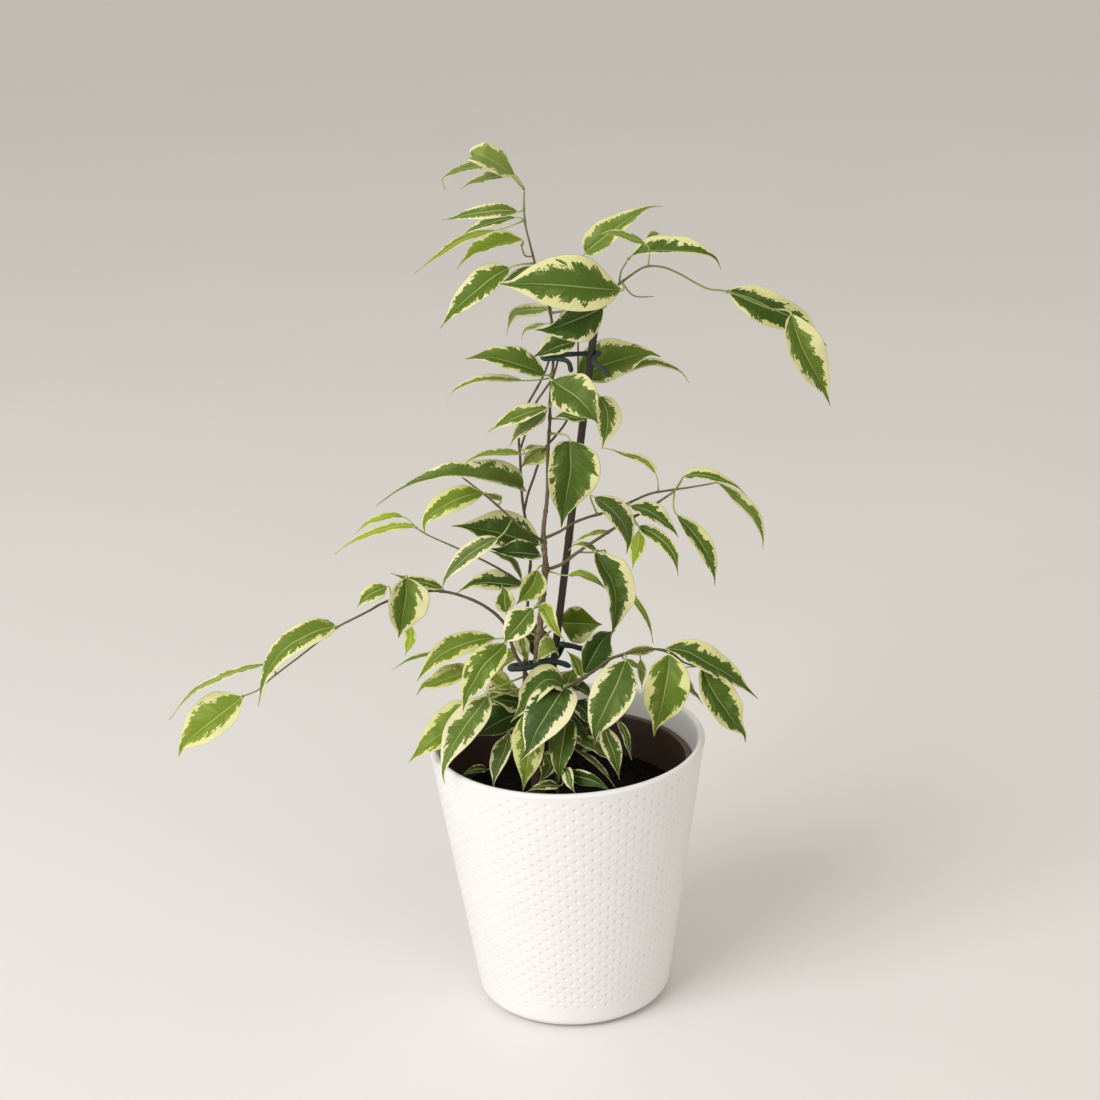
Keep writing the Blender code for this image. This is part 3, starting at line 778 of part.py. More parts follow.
# Soft ties: one round the stems and the cane near the cane's top, one gathering the stems low down
tie_upper = spline([
    sight(9, 353.5, 6), sight(7.5, 359, 7), sight(2, 361, 5.5), sight(-3.5, 361, 3), sight(-5.2, 361.5, -3),
    sight(-4.5, 362, -9), sight(2, 362.5, -11), sight(9, 363, -10), round_cane(361, 105),
    round_cane(361.5, 50), round_cane(362, 0), round_cane(361.5, -50),
    round_cane(359, -80) + Vector((0.6, -0.8, 0)), sight(24.5, 355, 4), sight(28.5, 350.5, 8)], 30)
add("plant_tie_upper", *tube(tie_upper, [TIE_R * 0.85] * 30), origin=tie_upper[0].copy(), mat=tie_green)
tie_lower = spline([
    sight(3.5, 190.3, 9), sight(0, 192, 9), sight(-6, 193.5, 10), sight(-14, 191.5, 12),
    sight(-21, 190.5, 13),
    sight(-27.5, 190, 8), sight(-29, 191, 0), sight(-27, 192, -9), sight(-20, 193, -14), sight(-11, 194, -13),

    sight(-4, 196, -10), round_cane(201, 20), round_cane(203, -40),
    round_cane(203.5, -75) + Vector((1, -1, 0)),
    sight(3.5, 202.5, -1), sight(9.5, 200.5, -3), sight(14, 199.5, -4.5)], 34)
add("plant_tie_lower", *tube(tie_lower, [TIE_R] * 34), origin=tie_lower[0].copy(), mat=tie_green)

# The soil: a plug that fills the nursery pot to a slight dome, with a socket for each stem and the cane
soil_r_top = nursery_outer(SOIL_TOP) - NURSERY_WALL - GAP
soil_r_low = nursery_outer(n_foot_z + 2.0) - NURSERY_WALL - GAP - 0.2
soil_profile = [
    (0.0, n_foot_z + 1.5 + GAP),
    (soil_r_low - 1.0, n_foot_z + 1.5 + GAP),
    (soil_r_low, n_foot_z + 3.0),
    (nursery_outer(60.0) - NURSERY_WALL - GAP - 0.2, 60.0),
    (soil_r_top - 0.2, SOIL_TOP - SOIL_DOME),
    (soil_r_top * 0.8, SOIL_TOP - SOIL_DOME * 0.55),
    (soil_r_top * 0.45, SOIL_TOP - SOIL_DOME * 0.12),
    (0.0, SOIL_TOP),
]
soil = add("potting_soil", *shell(soil_profile), mat=dark_soil)
for x, y, r in ((-15, -3, 2.2), (-24, 9, 1.3), (-19, -12, 1.4), (-6, -14, 1.0)):
    low = Vector((x, y, SOIL_TOP - ROOT_DEPTH - GAP))
    line = [low, low + Vector((0, 0, 40))]
    work("DIFFERENCE", soil, add("socket", *tube(line, [r + 0.4] * 2, 8)))
line = [cane_foot - lean * GAP, cane_at(SOIL_TOP + 20)]
work("DIFFERENCE", soil, add("socket", *tube(line, [CANE_R + 0.4] * 2, 10)))

# Everything hangs on one empty, whose offset puts the middle of the whole over the origin and the
# pads on the ground
low = [math.inf] * 3
high = [-math.inf] * 3
for ob in MADE:
    for v in ob.data.vertices:
        for k in range(3):
            place = v.co[k] + ob.location[k]
            low[k] = min(low[k], place)
            high[k] = max(high[k], place)
PLANT.location = (-(low[0] + high[0]) / 2, -(low[1] + high[1]) / 2, -low[2])
for ob in MADE:
    ob.parent = PLANT
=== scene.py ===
# %% [markdown]
# # A potted weeping fig
# A young fig with cream-edged leaves stands in its brown nursery pot, and that pot hides in a white
# cover pot whose side is pressed with small dimples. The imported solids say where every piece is.
# This lesson gives each of them its real surface: curved blades with veins, bark, soil and glaze.

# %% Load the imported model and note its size
import math
import random

import bmesh
import bpy
from mathutils import Matrix, Vector, noise


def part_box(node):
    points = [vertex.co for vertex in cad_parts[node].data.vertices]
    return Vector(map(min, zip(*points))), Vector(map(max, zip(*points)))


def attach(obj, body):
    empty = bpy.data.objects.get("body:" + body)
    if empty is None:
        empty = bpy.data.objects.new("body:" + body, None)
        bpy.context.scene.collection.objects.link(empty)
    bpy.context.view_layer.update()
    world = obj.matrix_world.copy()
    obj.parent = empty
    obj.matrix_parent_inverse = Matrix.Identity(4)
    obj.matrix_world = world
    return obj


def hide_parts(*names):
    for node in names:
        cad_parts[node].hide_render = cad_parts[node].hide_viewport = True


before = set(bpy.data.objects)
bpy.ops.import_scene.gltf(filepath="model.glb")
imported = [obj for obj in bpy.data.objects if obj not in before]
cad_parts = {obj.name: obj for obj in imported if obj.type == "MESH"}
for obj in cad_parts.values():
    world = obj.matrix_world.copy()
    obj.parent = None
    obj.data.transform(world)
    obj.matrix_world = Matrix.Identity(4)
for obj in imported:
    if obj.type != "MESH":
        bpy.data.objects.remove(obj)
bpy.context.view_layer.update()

# %% [markdown]
# ## Where things are
# All the shapes below are worked out in millimetres from the middle of the cover pot's foot, because
# that is how a grower would measure the plant. One small function turns such a place into metres in
# the scene. The foot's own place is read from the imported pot, so nothing has to be fitted by hand.

# %% From millimetres at the pot's foot to metres in the scene
pot_low, pot_high = (Vector(corner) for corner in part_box("cover_pot"))
POT_FOOT = Vector(((pot_low.x + pot_high.x) / 2, (pot_low.y + pot_high.y) / 2, pot_low.z)) * 1000


def in_scene(place):
    return (place + POT_FOOT) * 0.001


print("pot foot at", [round(v, 2) for v in POT_FOOT], "mm")

# %% [markdown]
# ## The viewpoint
# The picture looks down on the plant by about 20 degrees through a long lens, with a slight roll. The
# plant was measured from this same place: a point given as (x, z, near) is where it lines up with an
# upright sheet through the pot's axis, and how far it stands in front of that sheet.

# %% The camera, and points read along its lines of sight
EYE = Vector((-5.3, -1137.4, 663.5))
LOOK_DOWN = math.radians(19.66)
ROLL = math.radians(-2.12)


def sight(x, z, near=0.0):
    seen = Vector((x, 0.0, z))
    return seen + (EYE - seen) * (near / -EYE.y)


ahead = Vector((0, math.cos(LOOK_DOWN), -math.sin(LOOK_DOWN)))
level = Vector((1, 0, 0))
upright = level.cross(ahead)
to_right = level * math.cos(ROLL) + upright * math.sin(ROLL)
to_top = upright * math.cos(ROLL) - level * math.sin(ROLL)
camera = bpy.data.objects.new("camera", bpy.data.cameras.new("camera"))
camera.data.lens = 50.0
camera.data.sensor_width = 24.0
camera.data.clip_end = 80.0
camera.matrix_world = Matrix.Translation(in_scene(EYE)) @ Matrix((to_right, to_top, -ahead)).transposed().to_4x4()
bpy.context.scene.collection.objects.link(camera)
bpy.context.scene.camera = camera
print("camera at", [round(v, 3) for v in camera.location])

# %% [markdown]
# ## A small workbench for meshes
# A piece can have several parts, such as bark and leaves, each with its own finish. Every part is a
# list of points and faces, and may carry marks: numbers at each point that a finish reads back, such
# as how far along a leaf the point is. Storing them on the mesh lets one material serve all leaves.

# %% Build one piece from its parts
MARKS = ("place", "green", "tone", "size")
PIECES = []


def make_piece(name, node, parts):
    """parts: (points in mm, faces, material, marks by name or None)."""
    mesh = bpy.data.meshes.new(name)
    points, faces, slots = [], [], []
    marks = {mark: [] for mark in MARKS}
    for part_points, part_faces, material, part_marks in parts:
        if material.name not in mesh.materials:
            mesh.materials.append(material)
        first = len(points)
        points += [tuple(in_scene(p)) for p in part_points]
        faces += [[first + i for i in face] for face in part_faces]
        slots += [mesh.materials.find(material.name)] * len(part_faces)
        for mark in MARKS:
            given = (part_marks or {}).get(mark)
            marks[mark] += given if given else [(0.0, 0.0, 0.0)] * len(part_points)
    mesh.from_pydata(points, [], faces)
    mesh.polygons.foreach_set("material_index", slots)
    mesh.polygons.foreach_set("use_smooth", [True] * len(faces))
    for mark in MARKS:
        if any(any(value) for value in marks[mark]):
            layer = mesh.attributes.new(mark, "FLOAT_VECTOR", "POINT")
            layer.data.foreach_set("vector", [number for value in marks[mark] for number in value])
    bm = bmesh.new()
    bm.from_mesh(mesh)
    bmesh.ops.recalc_face_normals(bm, faces=bm.faces)
    bm.to_mesh(mesh)
    bm.free()
    piece = bpy.data.objects.new(name, mesh)
    bpy.context.scene.collection.objects.link(piece)
    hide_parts(node)
    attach(piece, "root")
    PIECES.append(piece)
    return piece


def join_rings(one, two):
    """Faces between two rings of points; a ring of one point is a centre."""
    faces = []
    steps = max(len(one), len(two))
    for i in range(steps):
        j = (i + 1) % steps
        face = [one[i % len(one)], one[j % len(one)], two[j % len(two)], two[i % len(two)]]
        face = [v for n, v in enumerate(face) if v not in face[:n]]
        if len(face) > 2:
            faces.append(face)
    return faces


# %% [markdown]
# ## Turned shapes
# Pots, soil and pads are all turned about an upright axis, as on a wheel. A profile of (radius, height)
# pairs goes once round the outside and back along the inside, and each pair becomes a ring of points.

# %% Turn a closed profile about an axis
def turned(profile, steps, centre=Vector((0, 0, 0))):
    points, rings, faces = [], [], []
    for radius, height in profile:
        count = 1 if radius < 1e-6 else steps
        rings.append([len(points) + i for i in range(count)])
        for i in range(count):
            a = 2 * math.pi * i / steps
            points.append(centre + Vector((radius * math.cos(a), radius * math.sin(a), height)))
    for one, two in zip(rings, rings[1:] + rings[:1]):
        faces += join_rings(one, two)
    return points, faces


def rounded(corner_radius, centre_r, centre_z, start, end, steps):
    """Points of a round corner, from one angle to another in degrees."""
    out = []
    for i in range(steps + 1):
        a = math.radians(start + (end - start) * i / steps)
        out.append((centre_r + corner_radius * math.cos(a), centre_z + corner_radius * math.sin(a)))
    return out


# %% [markdown]
# ## Shader nodes in plain words
# Materials here are small networks. A few helpers keep them readable: one adds a node and fills its
# inputs in order, one does arithmetic, one makes a soft step, and one mixes two colours.

# %% Helpers for networks of nodes
def plug(tree, feed, socket):
    """Joins a socket to a feed, or sets it to a plain number or colour."""
    if isinstance(feed, bpy.types.NodeSocket):
        tree.links.new(feed, socket)
    elif feed is not None:
        socket.default_value = feed


def add_node(tree, kind, *feeds, **settings):
    made = tree.nodes.new("ShaderNode" + kind)
    for key, value in settings.items():
        setattr(made, key, value)
    for socket, feed in zip(made.inputs, feeds):
        plug(tree, feed, socket)
    return made


def calc(tree, operation, a, b=None, c=None, clamp=False):
    return add_node(tree, "Math", a, b, c, operation=operation, use_clamp=clamp).outputs[0]


def step_between(tree, value, start, end, low=0.0, high=1.0):
    """A soft step: low below start, high above end."""
    return add_node(tree, "MapRange", value, start, end, low, high, interpolation_type="SMOOTHSTEP").outputs[0]


def mixed(tree, share, a, b):
    made = add_node(tree, "Mix", data_type="RGBA")
    for name, feed in (("Factor_Float", share), ("A_Color", a), ("B_Color", b)):
        plug(tree, feed, next(s for s in made.inputs if s.identifier == name))
    return next(s for s in made.outputs if s.identifier == "Result_Color")


def noise_at(tree, where, scale, detail=2.0, dimensions="3D"):
    made = add_node(tree, "TexNoise", noise_dimensions=dimensions)
    plug(tree, where, made.inputs["W" if dimensions == "1D" else "Vector"])
    made.inputs["Scale"].default_value = scale
    made.inputs["Detail"].default_value = detail
    return made.outputs[0]


def rgb(red, green, blue):
    return (red, green, blue, 1.0)


# %% [markdown]
# ## A node group for fine grain
# Glaze, plastic, soil, bark and foam all have a fine uneven grain. It is one group with two inputs, the
# grain's size in millimetres and its unevenness. It gives out broad patches and a fine height.

# %% Group: fine grain
def new_group(name, takes, gives):
    group = bpy.data.node_groups.new(name, "ShaderNodeTree")
    for socket_name, default in takes:
        made = group.interface.new_socket(name=socket_name, in_out="INPUT", socket_type="NodeSocketFloat")
        made.default_value = default
    for socket_name in gives:
        group.interface.new_socket(name=socket_name, in_out="OUTPUT", socket_type="NodeSocketFloat")
    return group, group.nodes.new("NodeGroupInput").outputs, group.nodes.new("NodeGroupOutput").inputs


grain_group, grain_in, grain_out = new_group(
    "fine grain", (("Size mm", 1.0), ("Unevenness", 2.0)), ("Patches", "Height"))
spot = add_node(grain_group, "TexCoord").outputs["Object"]
cells = calc(grain_group, "DIVIDE", 1000.0, grain_in["Size mm"])
fine = add_node(grain_group, "TexNoise")
plug(grain_group, spot, fine.inputs["Vector"])
plug(grain_group, cells, fine.inputs["Scale"])
plug(grain_group, grain_in["Unevenness"], fine.inputs["Detail"])
broad = add_node(grain_group, "TexNoise")
plug(grain_group, spot, broad.inputs["Vector"])
plug(grain_group, calc(grain_group, "MULTIPLY", cells, 0.13), broad.inputs["Scale"])
plug(grain_group, broad.outputs[0], grain_out["Patches"])
plug(grain_group, fine.outputs[0], grain_out["Height"])


def place_group(tree, group, **values):
    made = add_node(tree, "Group")
    made.node_tree = group
    for name, value in values.items():
        plug(tree, value, made.inputs[name.replace("_", " ")])
    return made.outputs


print("group", grain_group.name, "made")

# %% [markdown]
# ## Starting a material
# Each finish begins the same way: an empty network with one Principled shader. Numbers that don't
# change over the surface, such as coat and specular level, are set straight on the shader's sockets.

# %% Start a material, and give it a bump
def new_finish(name, **plain):
    material = bpy.data.materials.new(name)
    material.use_nodes = True
    tree = material.node_tree
    shader = tree.nodes["Principled BSDF"]
    for key, value in plain.items():
        shader.inputs[key.replace("_", " ")].default_value = value
    return material, tree, shader


def emboss(tree, shader, height, depth_mm):
    bump = add_node(tree, "Bump")
    bump.inputs["Strength"].default_value = 1.0
    bump.inputs["Distance"].default_value = depth_mm * 0.001
    plug(tree, height, bump.inputs["Height"])
    plug(tree, bump.outputs[0], shader.inputs["Normal"])


# %% [markdown]
# ## The cover pot's side
# The pot is cast stoneware under a satin white glaze. Its side carries rows of small round dimples,
# each row shifted by half a step. Bump alone would leave the hollows flat in a close view, so they
# are cut as real hollows: the side is laid in bricks, and each brick holds one dimple as rings of
# points that join the brick's own edge.

# %% Sizes of the cover pot
RIM_R, FOOT_R, POT_HEIGHT, POT_WALL = 75.0, 52.7, 150.0, 4.0
DIMPLE_ROWS, DIMPLES_ROUND = 42, 47
FIRST_ROW, LAST_ROW = 13.6, 143.6
DIMPLE_R, DIMPLE_DEPTH = 1.38, 0.72
ROW_STEP = (LAST_ROW - FIRST_ROW) / (DIMPLE_ROWS - 1)
POT_STEPS = DIMPLES_ROUND * 4


def side_radius(z):
    return FOOT_R + (RIM_R - FOOT_R) * z / POT_HEIGHT


def on_side(turn, z, sunk=0.0):
    """A point on the pot's side; turn counts brick quarters round it."""
    a = 2 * math.pi * turn / POT_STEPS
    r = side_radius(z) - sunk
    return Vector((r * math.cos(a), r * math.sin(a), z))


print("dimples", DIMPLE_ROWS * DIMPLES_ROUND, "row step", round(ROW_STEP, 2), "mm")

# %% One dimple inside its brick
def dimple(points, edge, turn, z):
    """Sinks a dimple inside a brick's twelve edge points and gives its faces."""
    quarter = 2 * math.pi * side_radius(z) / POT_STEPS
    size = DIMPLE_R * (0.88 + 0.12 * z / POT_HEIGHT)
    faces, outer = [], edge
    for reach, depth in ((1.12, 0.0), (1.0, 0.03), (0.6, 0.66)):
        ring = [len(points) + i for i in range(12)]
        for i in range(12):
            a = math.radians(210 + 30 * i)
            across, rise = size * reach * math.cos(a), size * reach * math.sin(a)
            points.append(on_side(turn + across / quarter, z + rise, DIMPLE_DEPTH * depth))
        faces += join_rings(outer, ring)
        outer = ring
    points.append(on_side(turn, z, DIMPLE_DEPTH))
    return faces + join_rings(outer, [len(points) - 1])


# %% Lay the side in bricks, a dimple in each
def dimpled_side(points):
    """Faces of the side, and its lowest and highest ring of points."""
    faces, levels = [], []
    for row in range(DIMPLE_ROWS + 1):
        z = FIRST_ROW + (row - 0.5) * ROW_STEP
        levels.append([len(points) + i for i in range(POT_STEPS)])
        points += [on_side(i, z) for i in range(POT_STEPS)]
    for row in range(DIMPLE_ROWS):
        z = FIRST_ROW + row * ROW_STEP
        shift = 2 * (row % 2)
        seams = [len(points) + i for i in range(DIMPLES_ROUND)]
        points += [on_side(i * 4 + shift, z) for i in range(DIMPLES_ROUND)]
        for n in range(DIMPLES_ROUND):
            first = n * 4 + shift
            low = [levels[row][(first + i) % POT_STEPS] for i in range(5)]
            high = [levels[row + 1][(first + i) % POT_STEPS] for i in range(5)]
            edge = low + [seams[(n + 1) % DIMPLES_ROUND]] + high[::-1] + [seams[n]]
            faces += dimple(points, edge, first + 2, z)
    return faces, levels[0], levels[-1]


def plain_rings(points, profile):
    """Smooth rings of the same number of points as the side."""
    rings = []
    for radius, height in profile:
        count = 1 if radius < 1e-6 else POT_STEPS
        rings.append([len(points) + i for i in range(count)])
        for i in range(count):
            a = 2 * math.pi * i / POT_STEPS
            points.append(Vector((radius * math.cos(a), radius * math.sin(a), height)))
    return rings


CORNER_R, POT_FLOOR, LIP_R = 6.0, 5.0, POT_WALL / 2
foot_profile = [(0.0, 0.6), (FOOT_R - 16.0, 0.6), (FOOT_R - 14.5, 0.0), (FOOT_R - 7.0, 0.0)]
foot_profile += rounded(CORNER_R, side_radius(CORNER_R) - CORNER_R, CORNER_R, -84, -8, 8)
foot_profile += [(side_radius(z), z) for z in (8.0, 9.8)]
lip_profile = [(side_radius(z), z) for z in (146.2, 147.4)]
lip_profile += rounded(LIP_R, RIM_R - LIP_R, POT_HEIGHT - LIP_R, 6, 172, 10)
inner_profile = [(side_radius(z) - POT_WALL, z) for z in (147.0, 140.0, 120.0, 80.0, 40.0, 14.0)]
inner_profile += rounded(7.0, side_radius(12.0) - POT_WALL - 7.0, POT_FLOOR + 7.0, 0, -90, 6)
inner_profile += [(0.0, POT_FLOOR)]

pot_points = []
side_faces, side_foot, side_top = dimpled_side(pot_points)
rings = plain_rings(pot_points, foot_profile) + [None] + plain_rings(pot_points, lip_profile + inner_profile)
split = rings.index(None)
pot_faces = list(side_faces)
for one, two in zip(rings[:split], rings[1:split] + [side_foot]):
    pot_faces += join_rings(one, two)
for one, two in zip([side_top] + rings[split + 1:], rings[split + 1:]):
    pot_faces += join_rings(one, two)
print("cover pot", len(pot_points), "points", len(pot_faces), "faces")

# %% [markdown]
# ## White satin glaze
# Cast white glaze isn't one flat colour: it is a little warmer where it lies thin, and has a faint
# orange-peel ripple. Its gloss is soft, so the coat is weak and the roughness changes slightly.

# %% Finish: white glaze, and the pot made with it
white_glaze, tree, shader = new_finish("white_glaze", Coat_Weight=0.18, Coat_Roughness=0.22, IOR=1.5)
grain = place_group(tree, grain_group, Size_mm=2.4, Unevenness=2.0)
plug(tree, mixed(tree, grain["Patches"], rgb(0.79, 0.785, 0.78), rgb(0.84, 0.835, 0.83)),
     shader.inputs["Base Color"])
plug(tree, step_between(tree, grain["Patches"], 0.3, 0.7, 0.3, 0.4), shader.inputs["Roughness"])
emboss(tree, shader, grain["Height"], 0.05)
make_piece("glazed_cover_pot", "cover_pot", [(pot_points, pot_faces, white_glaze, None)])

# %% [markdown]
# ## Rubber pads
# The pot stands on three small rubber pads, so its foot leaves a thin dark gap above the table. They
# are turned pills with a rounded edge, and rubber is dull with a fine grain.

# %% Finish: black rubber, and the three pads
black_rubber, tree, shader = new_finish("black_rubber")
grain = place_group(tree, grain_group, Size_mm=0.5, Unevenness=3.0)
plug(tree, mixed(tree, grain["Patches"], rgb(0.014, 0.014, 0.014), rgb(0.03, 0.03, 0.029)),
     shader.inputs["Base Color"])
plug(tree, step_between(tree, grain["Height"], 0.2, 0.8, 0.6, 0.85), shader.inputs["Roughness"])
emboss(tree, shader, grain["Height"], 0.06)

PAD_H, PAD_R, PAD_RING_R = 1.5, 4.0, 41.0
for pad_name, turn in (("pad_front", -90.0), ("pad_back_right", 30.0), ("pad_back_left", 150.0)):
    a = math.radians(turn)
    pad_foot = Vector((PAD_RING_R * math.cos(a), PAD_RING_R * math.sin(a), -PAD_H))
    pad_profile = [(0.0, 0.0)] + rounded(0.4, PAD_R - 0.4, 0.4, -90, 0, 4)
    pad_profile += rounded(0.25, PAD_R - 0.25, PAD_H - 0.25, 0, 90, 3) + [(0.0, PAD_H)]
    points, faces = turned(pad_profile, 40, pad_foot)
    make_piece(pad_name + "_rubber", pad_name, [(points, faces, black_rubber, None)])

# %% [markdown]
# ## The nursery pot
# Growers use thin blown pots of brown plastic with a rolled rim. Only the rim and a band of the inner
# wall show above the soil. A painted highlight, a lighter brown along the top of the rim, stands for
# the light it catches, and the plastic has a faint pebble grain.

# %% Profile of the nursery pot
NURSERY_RIM_R, NURSERY_RIM_Z, NURSERY_WALL = 67.6, 136.0, 1.2
NURSERY_FOOT_R, NURSERY_FOOT_Z = 45.5, 5.3


def nursery_outer(z):
    slope = (NURSERY_RIM_R - 2.2 - NURSERY_FOOT_R) / (NURSERY_RIM_Z - NURSERY_FOOT_Z)
    return NURSERY_FOOT_R + slope * (z - NURSERY_FOOT_Z)


nursery_profile = [(0.0, NURSERY_FOOT_Z), (NURSERY_FOOT_R - 3.0, NURSERY_FOOT_Z)]
nursery_profile += [(nursery_outer(8.5), 8.5)]
nursery_profile += [(nursery_outer(z), z) for z in (20.0, 60.0, 100.0, 118.0, NURSERY_RIM_Z - 5.6)]
nursery_profile += [(NURSERY_RIM_R - 0.9, NURSERY_RIM_Z - 5.0)]
nursery_profile += [(NURSERY_RIM_R - 0.2, NURSERY_RIM_Z - 4.4)]
nursery_profile += rounded(0.9, NURSERY_RIM_R - 0.9, NURSERY_RIM_Z - 0.9, 0, 90, 5)
nursery_profile += rounded(0.9, NURSERY_RIM_R - 2.3, NURSERY_RIM_Z - 0.9, 90, 175, 5)
nursery_profile += [(nursery_outer(z) - NURSERY_WALL, z) for z in (131.0, 125.0, 112.0, 60.0, 20.0)]
nursery_profile += [(nursery_outer(8.0) - NURSERY_WALL, 8.0)]
nursery_profile += [(NURSERY_FOOT_R - 4.0, NURSERY_FOOT_Z + 1.5), (0.0, NURSERY_FOOT_Z + 1.5)]

# %% Finish: brown plastic, and the nursery pot
brown_plastic, tree, shader = new_finish("brown_plastic", IOR=1.49)
grain = place_group(tree, grain_group, Size_mm=0.9, Unevenness=2.5)
height_mm = calc(tree, "MULTIPLY", add_node(tree, "SeparateXYZ", add_node(
    tree, "TexCoord").outputs["Object"]).outputs[2], 1000.0)
# Painted highlight: the top millimetre of the rim is mixed towards a lighter brown where it catches light.
rim_highlight = step_between(tree, height_mm, NURSERY_RIM_Z + POT_FOOT.z - 1.3, NURSERY_RIM_Z + POT_FOOT.z - 0.5)
plastic = mixed(tree, grain["Patches"], rgb(0.040, 0.023, 0.015), rgb(0.062, 0.036, 0.024))
plug(tree, mixed(tree, calc(tree, "MULTIPLY", rim_highlight, 0.7), plastic, rgb(0.09, 0.052, 0.034)),
     shader.inputs["Base Color"])
plug(tree, step_between(tree, grain["Height"], 0.25, 0.75, 0.34, 0.5), shader.inputs["Roughness"])
emboss(tree, shader, grain["Height"], 0.08)
points, faces = turned(nursery_profile, 120)
make_piece("nursery_pot_shell", "nursery_pot", [(points, faces, brown_plastic, None)])

# %% [markdown]
# ## Potting soil
# Moist potting soil is nearly black and made of crumbs. A turned plug gives its bulk, noise moves the
# points of its upper face up and down, and a few hundred loose crumbs of several sizes lie on it.

# %% The soil's plug with an uneven upper face
SOIL_TOP, SOIL_DOME = 117.0, 3.0
SOIL_R = nursery_outer(SOIL_TOP) - NURSERY_WALL - 0.3


def soil_height(x, y):
    far = min(math.hypot(x, y) / SOIL_R, 1.0)
    lumps = noise.fractal(Vector((x, y, 3.0)) * 0.085, 1.0, 2.0, 4) * 1.5
    crumbs = noise.fractal(Vector((x, y, 8.0)) * 0.42, 0.9, 2.1, 3) * 0.7
    fade = min(1.0, (1.0 - far) * 9.0)
    return SOIL_TOP - 0.6 - SOIL_DOME * far ** 2 + (lumps + crumbs) * (0.35 + 0.65 * fade)


soil_low_r = nursery_outer(8.0) - NURSERY_WALL - 1.4
rings_out = 52
soil_profile = [(0.0, 7.1), (soil_low_r, 7.1), (soil_low_r + 0.3, 9.0)]
soil_profile += [(nursery_outer(60.0) - NURSERY_WALL - 0.5, 60.0), (SOIL_R - 0.2, SOIL_TOP - SOIL_DOME - 2.0)]
first_top = len(soil_profile)
soil_profile += [(SOIL_R * (1 - i / rings_out) - 0.25 * (i == 0), SOIL_TOP) for i in range(rings_out)]
soil_profile += [(0.0, SOIL_TOP)]
soil_points, soil_faces = turned(soil_profile, 150)
upper = 1 + 150 * (first_top - 1)
for point in soil_points[upper:]:
    point.z = soil_height(point.x, point.y)
print("soil", len(soil_points), "points")

# %% Loose crumbs on the soil
ICO = bmesh.new()
bmesh.ops.create_icosphere(ICO, subdivisions=2, radius=1.0)
ICO_POINTS = [v.co.copy() for v in ICO.verts]
ICO_FACES = [[v.index for v in face.verts] for face in ICO.faces]
ICO.free()


def crumb(place, size, flat, seed):
    """A small lump: a ball pushed about by noise, flattened and turned."""
    chance = random.Random(seed)
    turn = Matrix.Rotation(chance.uniform(0, 6.28), 3, Vector((chance.uniform(-1, 1), chance.uniform(-1, 1), 1)))
    stretch = Vector((1.0, chance.uniform(0.55, 1.0), flat))
    points = []
    for p in ICO_POINTS:
        swell = 1.0 + 0.45 * noise.noise(p * 1.7 + Vector((seed, 0, 0)))
        points.append(place + turn @ Vector((p.x * stretch.x, p.y * stretch.y, p.z * stretch.z)) * size * swell)
    return points


chance = random.Random(11)
for n in range(300):
    a, far = chance.uniform(0, 2 * math.pi), math.sqrt(chance.uniform(0.0, 0.93)) * SOIL_R
    x, y = far * math.cos(a), far * math.sin(a)
    size = 0.5 + 1.5 * chance.random() ** 2.4
    place = Vector((x, y, soil_height(x, y) + size * 0.15))
    first = len(soil_points)
    soil_points += crumb(place, size, chance.uniform(0.45, 0.85), n)
    soil_faces += [[first + i for i in face] for face in ICO_FACES]
print("with crumbs", len(soil_points), "points")

# %% Finish: dark soil, and the soil made with it
dark_soil, tree, shader = new_finish("dark_soil", Specular_IOR_Level=0.12)
grain = place_group(tree, grain_group, Size_mm=0.8, Unevenness=6.0)
fibre = place_group(tree, grain_group, Size_mm=0.25, Unevenness=3.0)
plug(tree, mixed(tree, step_between(tree, grain["Height"], 0.45, 0.75),
                 mixed(tree, fibre["Height"], rgb(0.0012, 0.0008, 0.0006), rgb(0.004, 0.0026, 0.0018)),
                 rgb(0.011, 0.0065, 0.004)), shader.inputs["Base Color"])
plug(tree, step_between(tree, grain["Patches"], 0.35, 0.65, 0.75, 0.95), shader.inputs["Roughness"])
emboss(tree, shader, grain["Height"], 0.5)
make_piece("soil_and_crumbs", "potting_soil", [(soil_points, soil_faces, dark_soil, None)])

# %% [markdown]
# ## Paths through the plant
# Stems, twigs, leaves and ties are all drawn along smooth curves through a few measured points. The
# curve is cut into even steps by its length, so the rings of a tube are evenly spaced.

# %% A smooth curve in even steps
def spline(points, count):
    pts = [points[0] * 2 - points[1]] + list(points) + [points[-1] * 2 - points[-2]]
    fine = []
    for i in range(1, len(pts) - 2):
        p0, p1, p2, p3 = pts[i - 1 : i + 3]
        for j in range(12):
            t = j / 12
            fine.append(
                0.5 * (2 * p1 + (p2 - p0) * t + (2 * p0 - 5 * p1 + 4 * p2 - p3) * t * t
                       + (3 * p1 - p0 - 3 * p2 + p3) * t ** 3)
            )
    fine.append(pts[-2])
    lengths = [0.0]
    for a, b in zip(fine, fine[1:]):
        lengths.append(lengths[-1] + (b - a).length)
    out, k = [], 0
    for i in range(count):
        want = lengths[-1] * i / (count - 1)
        while k < len(fine) - 2 and lengths[k + 1] <= want + 1e-9:
            k += 1
        part = (want - lengths[k]) / max(lengths[k + 1] - lengths[k], 1e-9)
        out.append(fine[k].lerp(fine[k + 1], part))
    return out


def path_length(line):
    return sum((b - a).length for a, b in zip(line, line[1:]))


def blend(values, t):
    """The value at t (0 to 1) along evenly spaced stops."""
    at = t * (len(values) - 1)
    k = min(int(at), len(values) - 2)
    return values[k] + (values[k + 1] - values[k]) * (at - k)


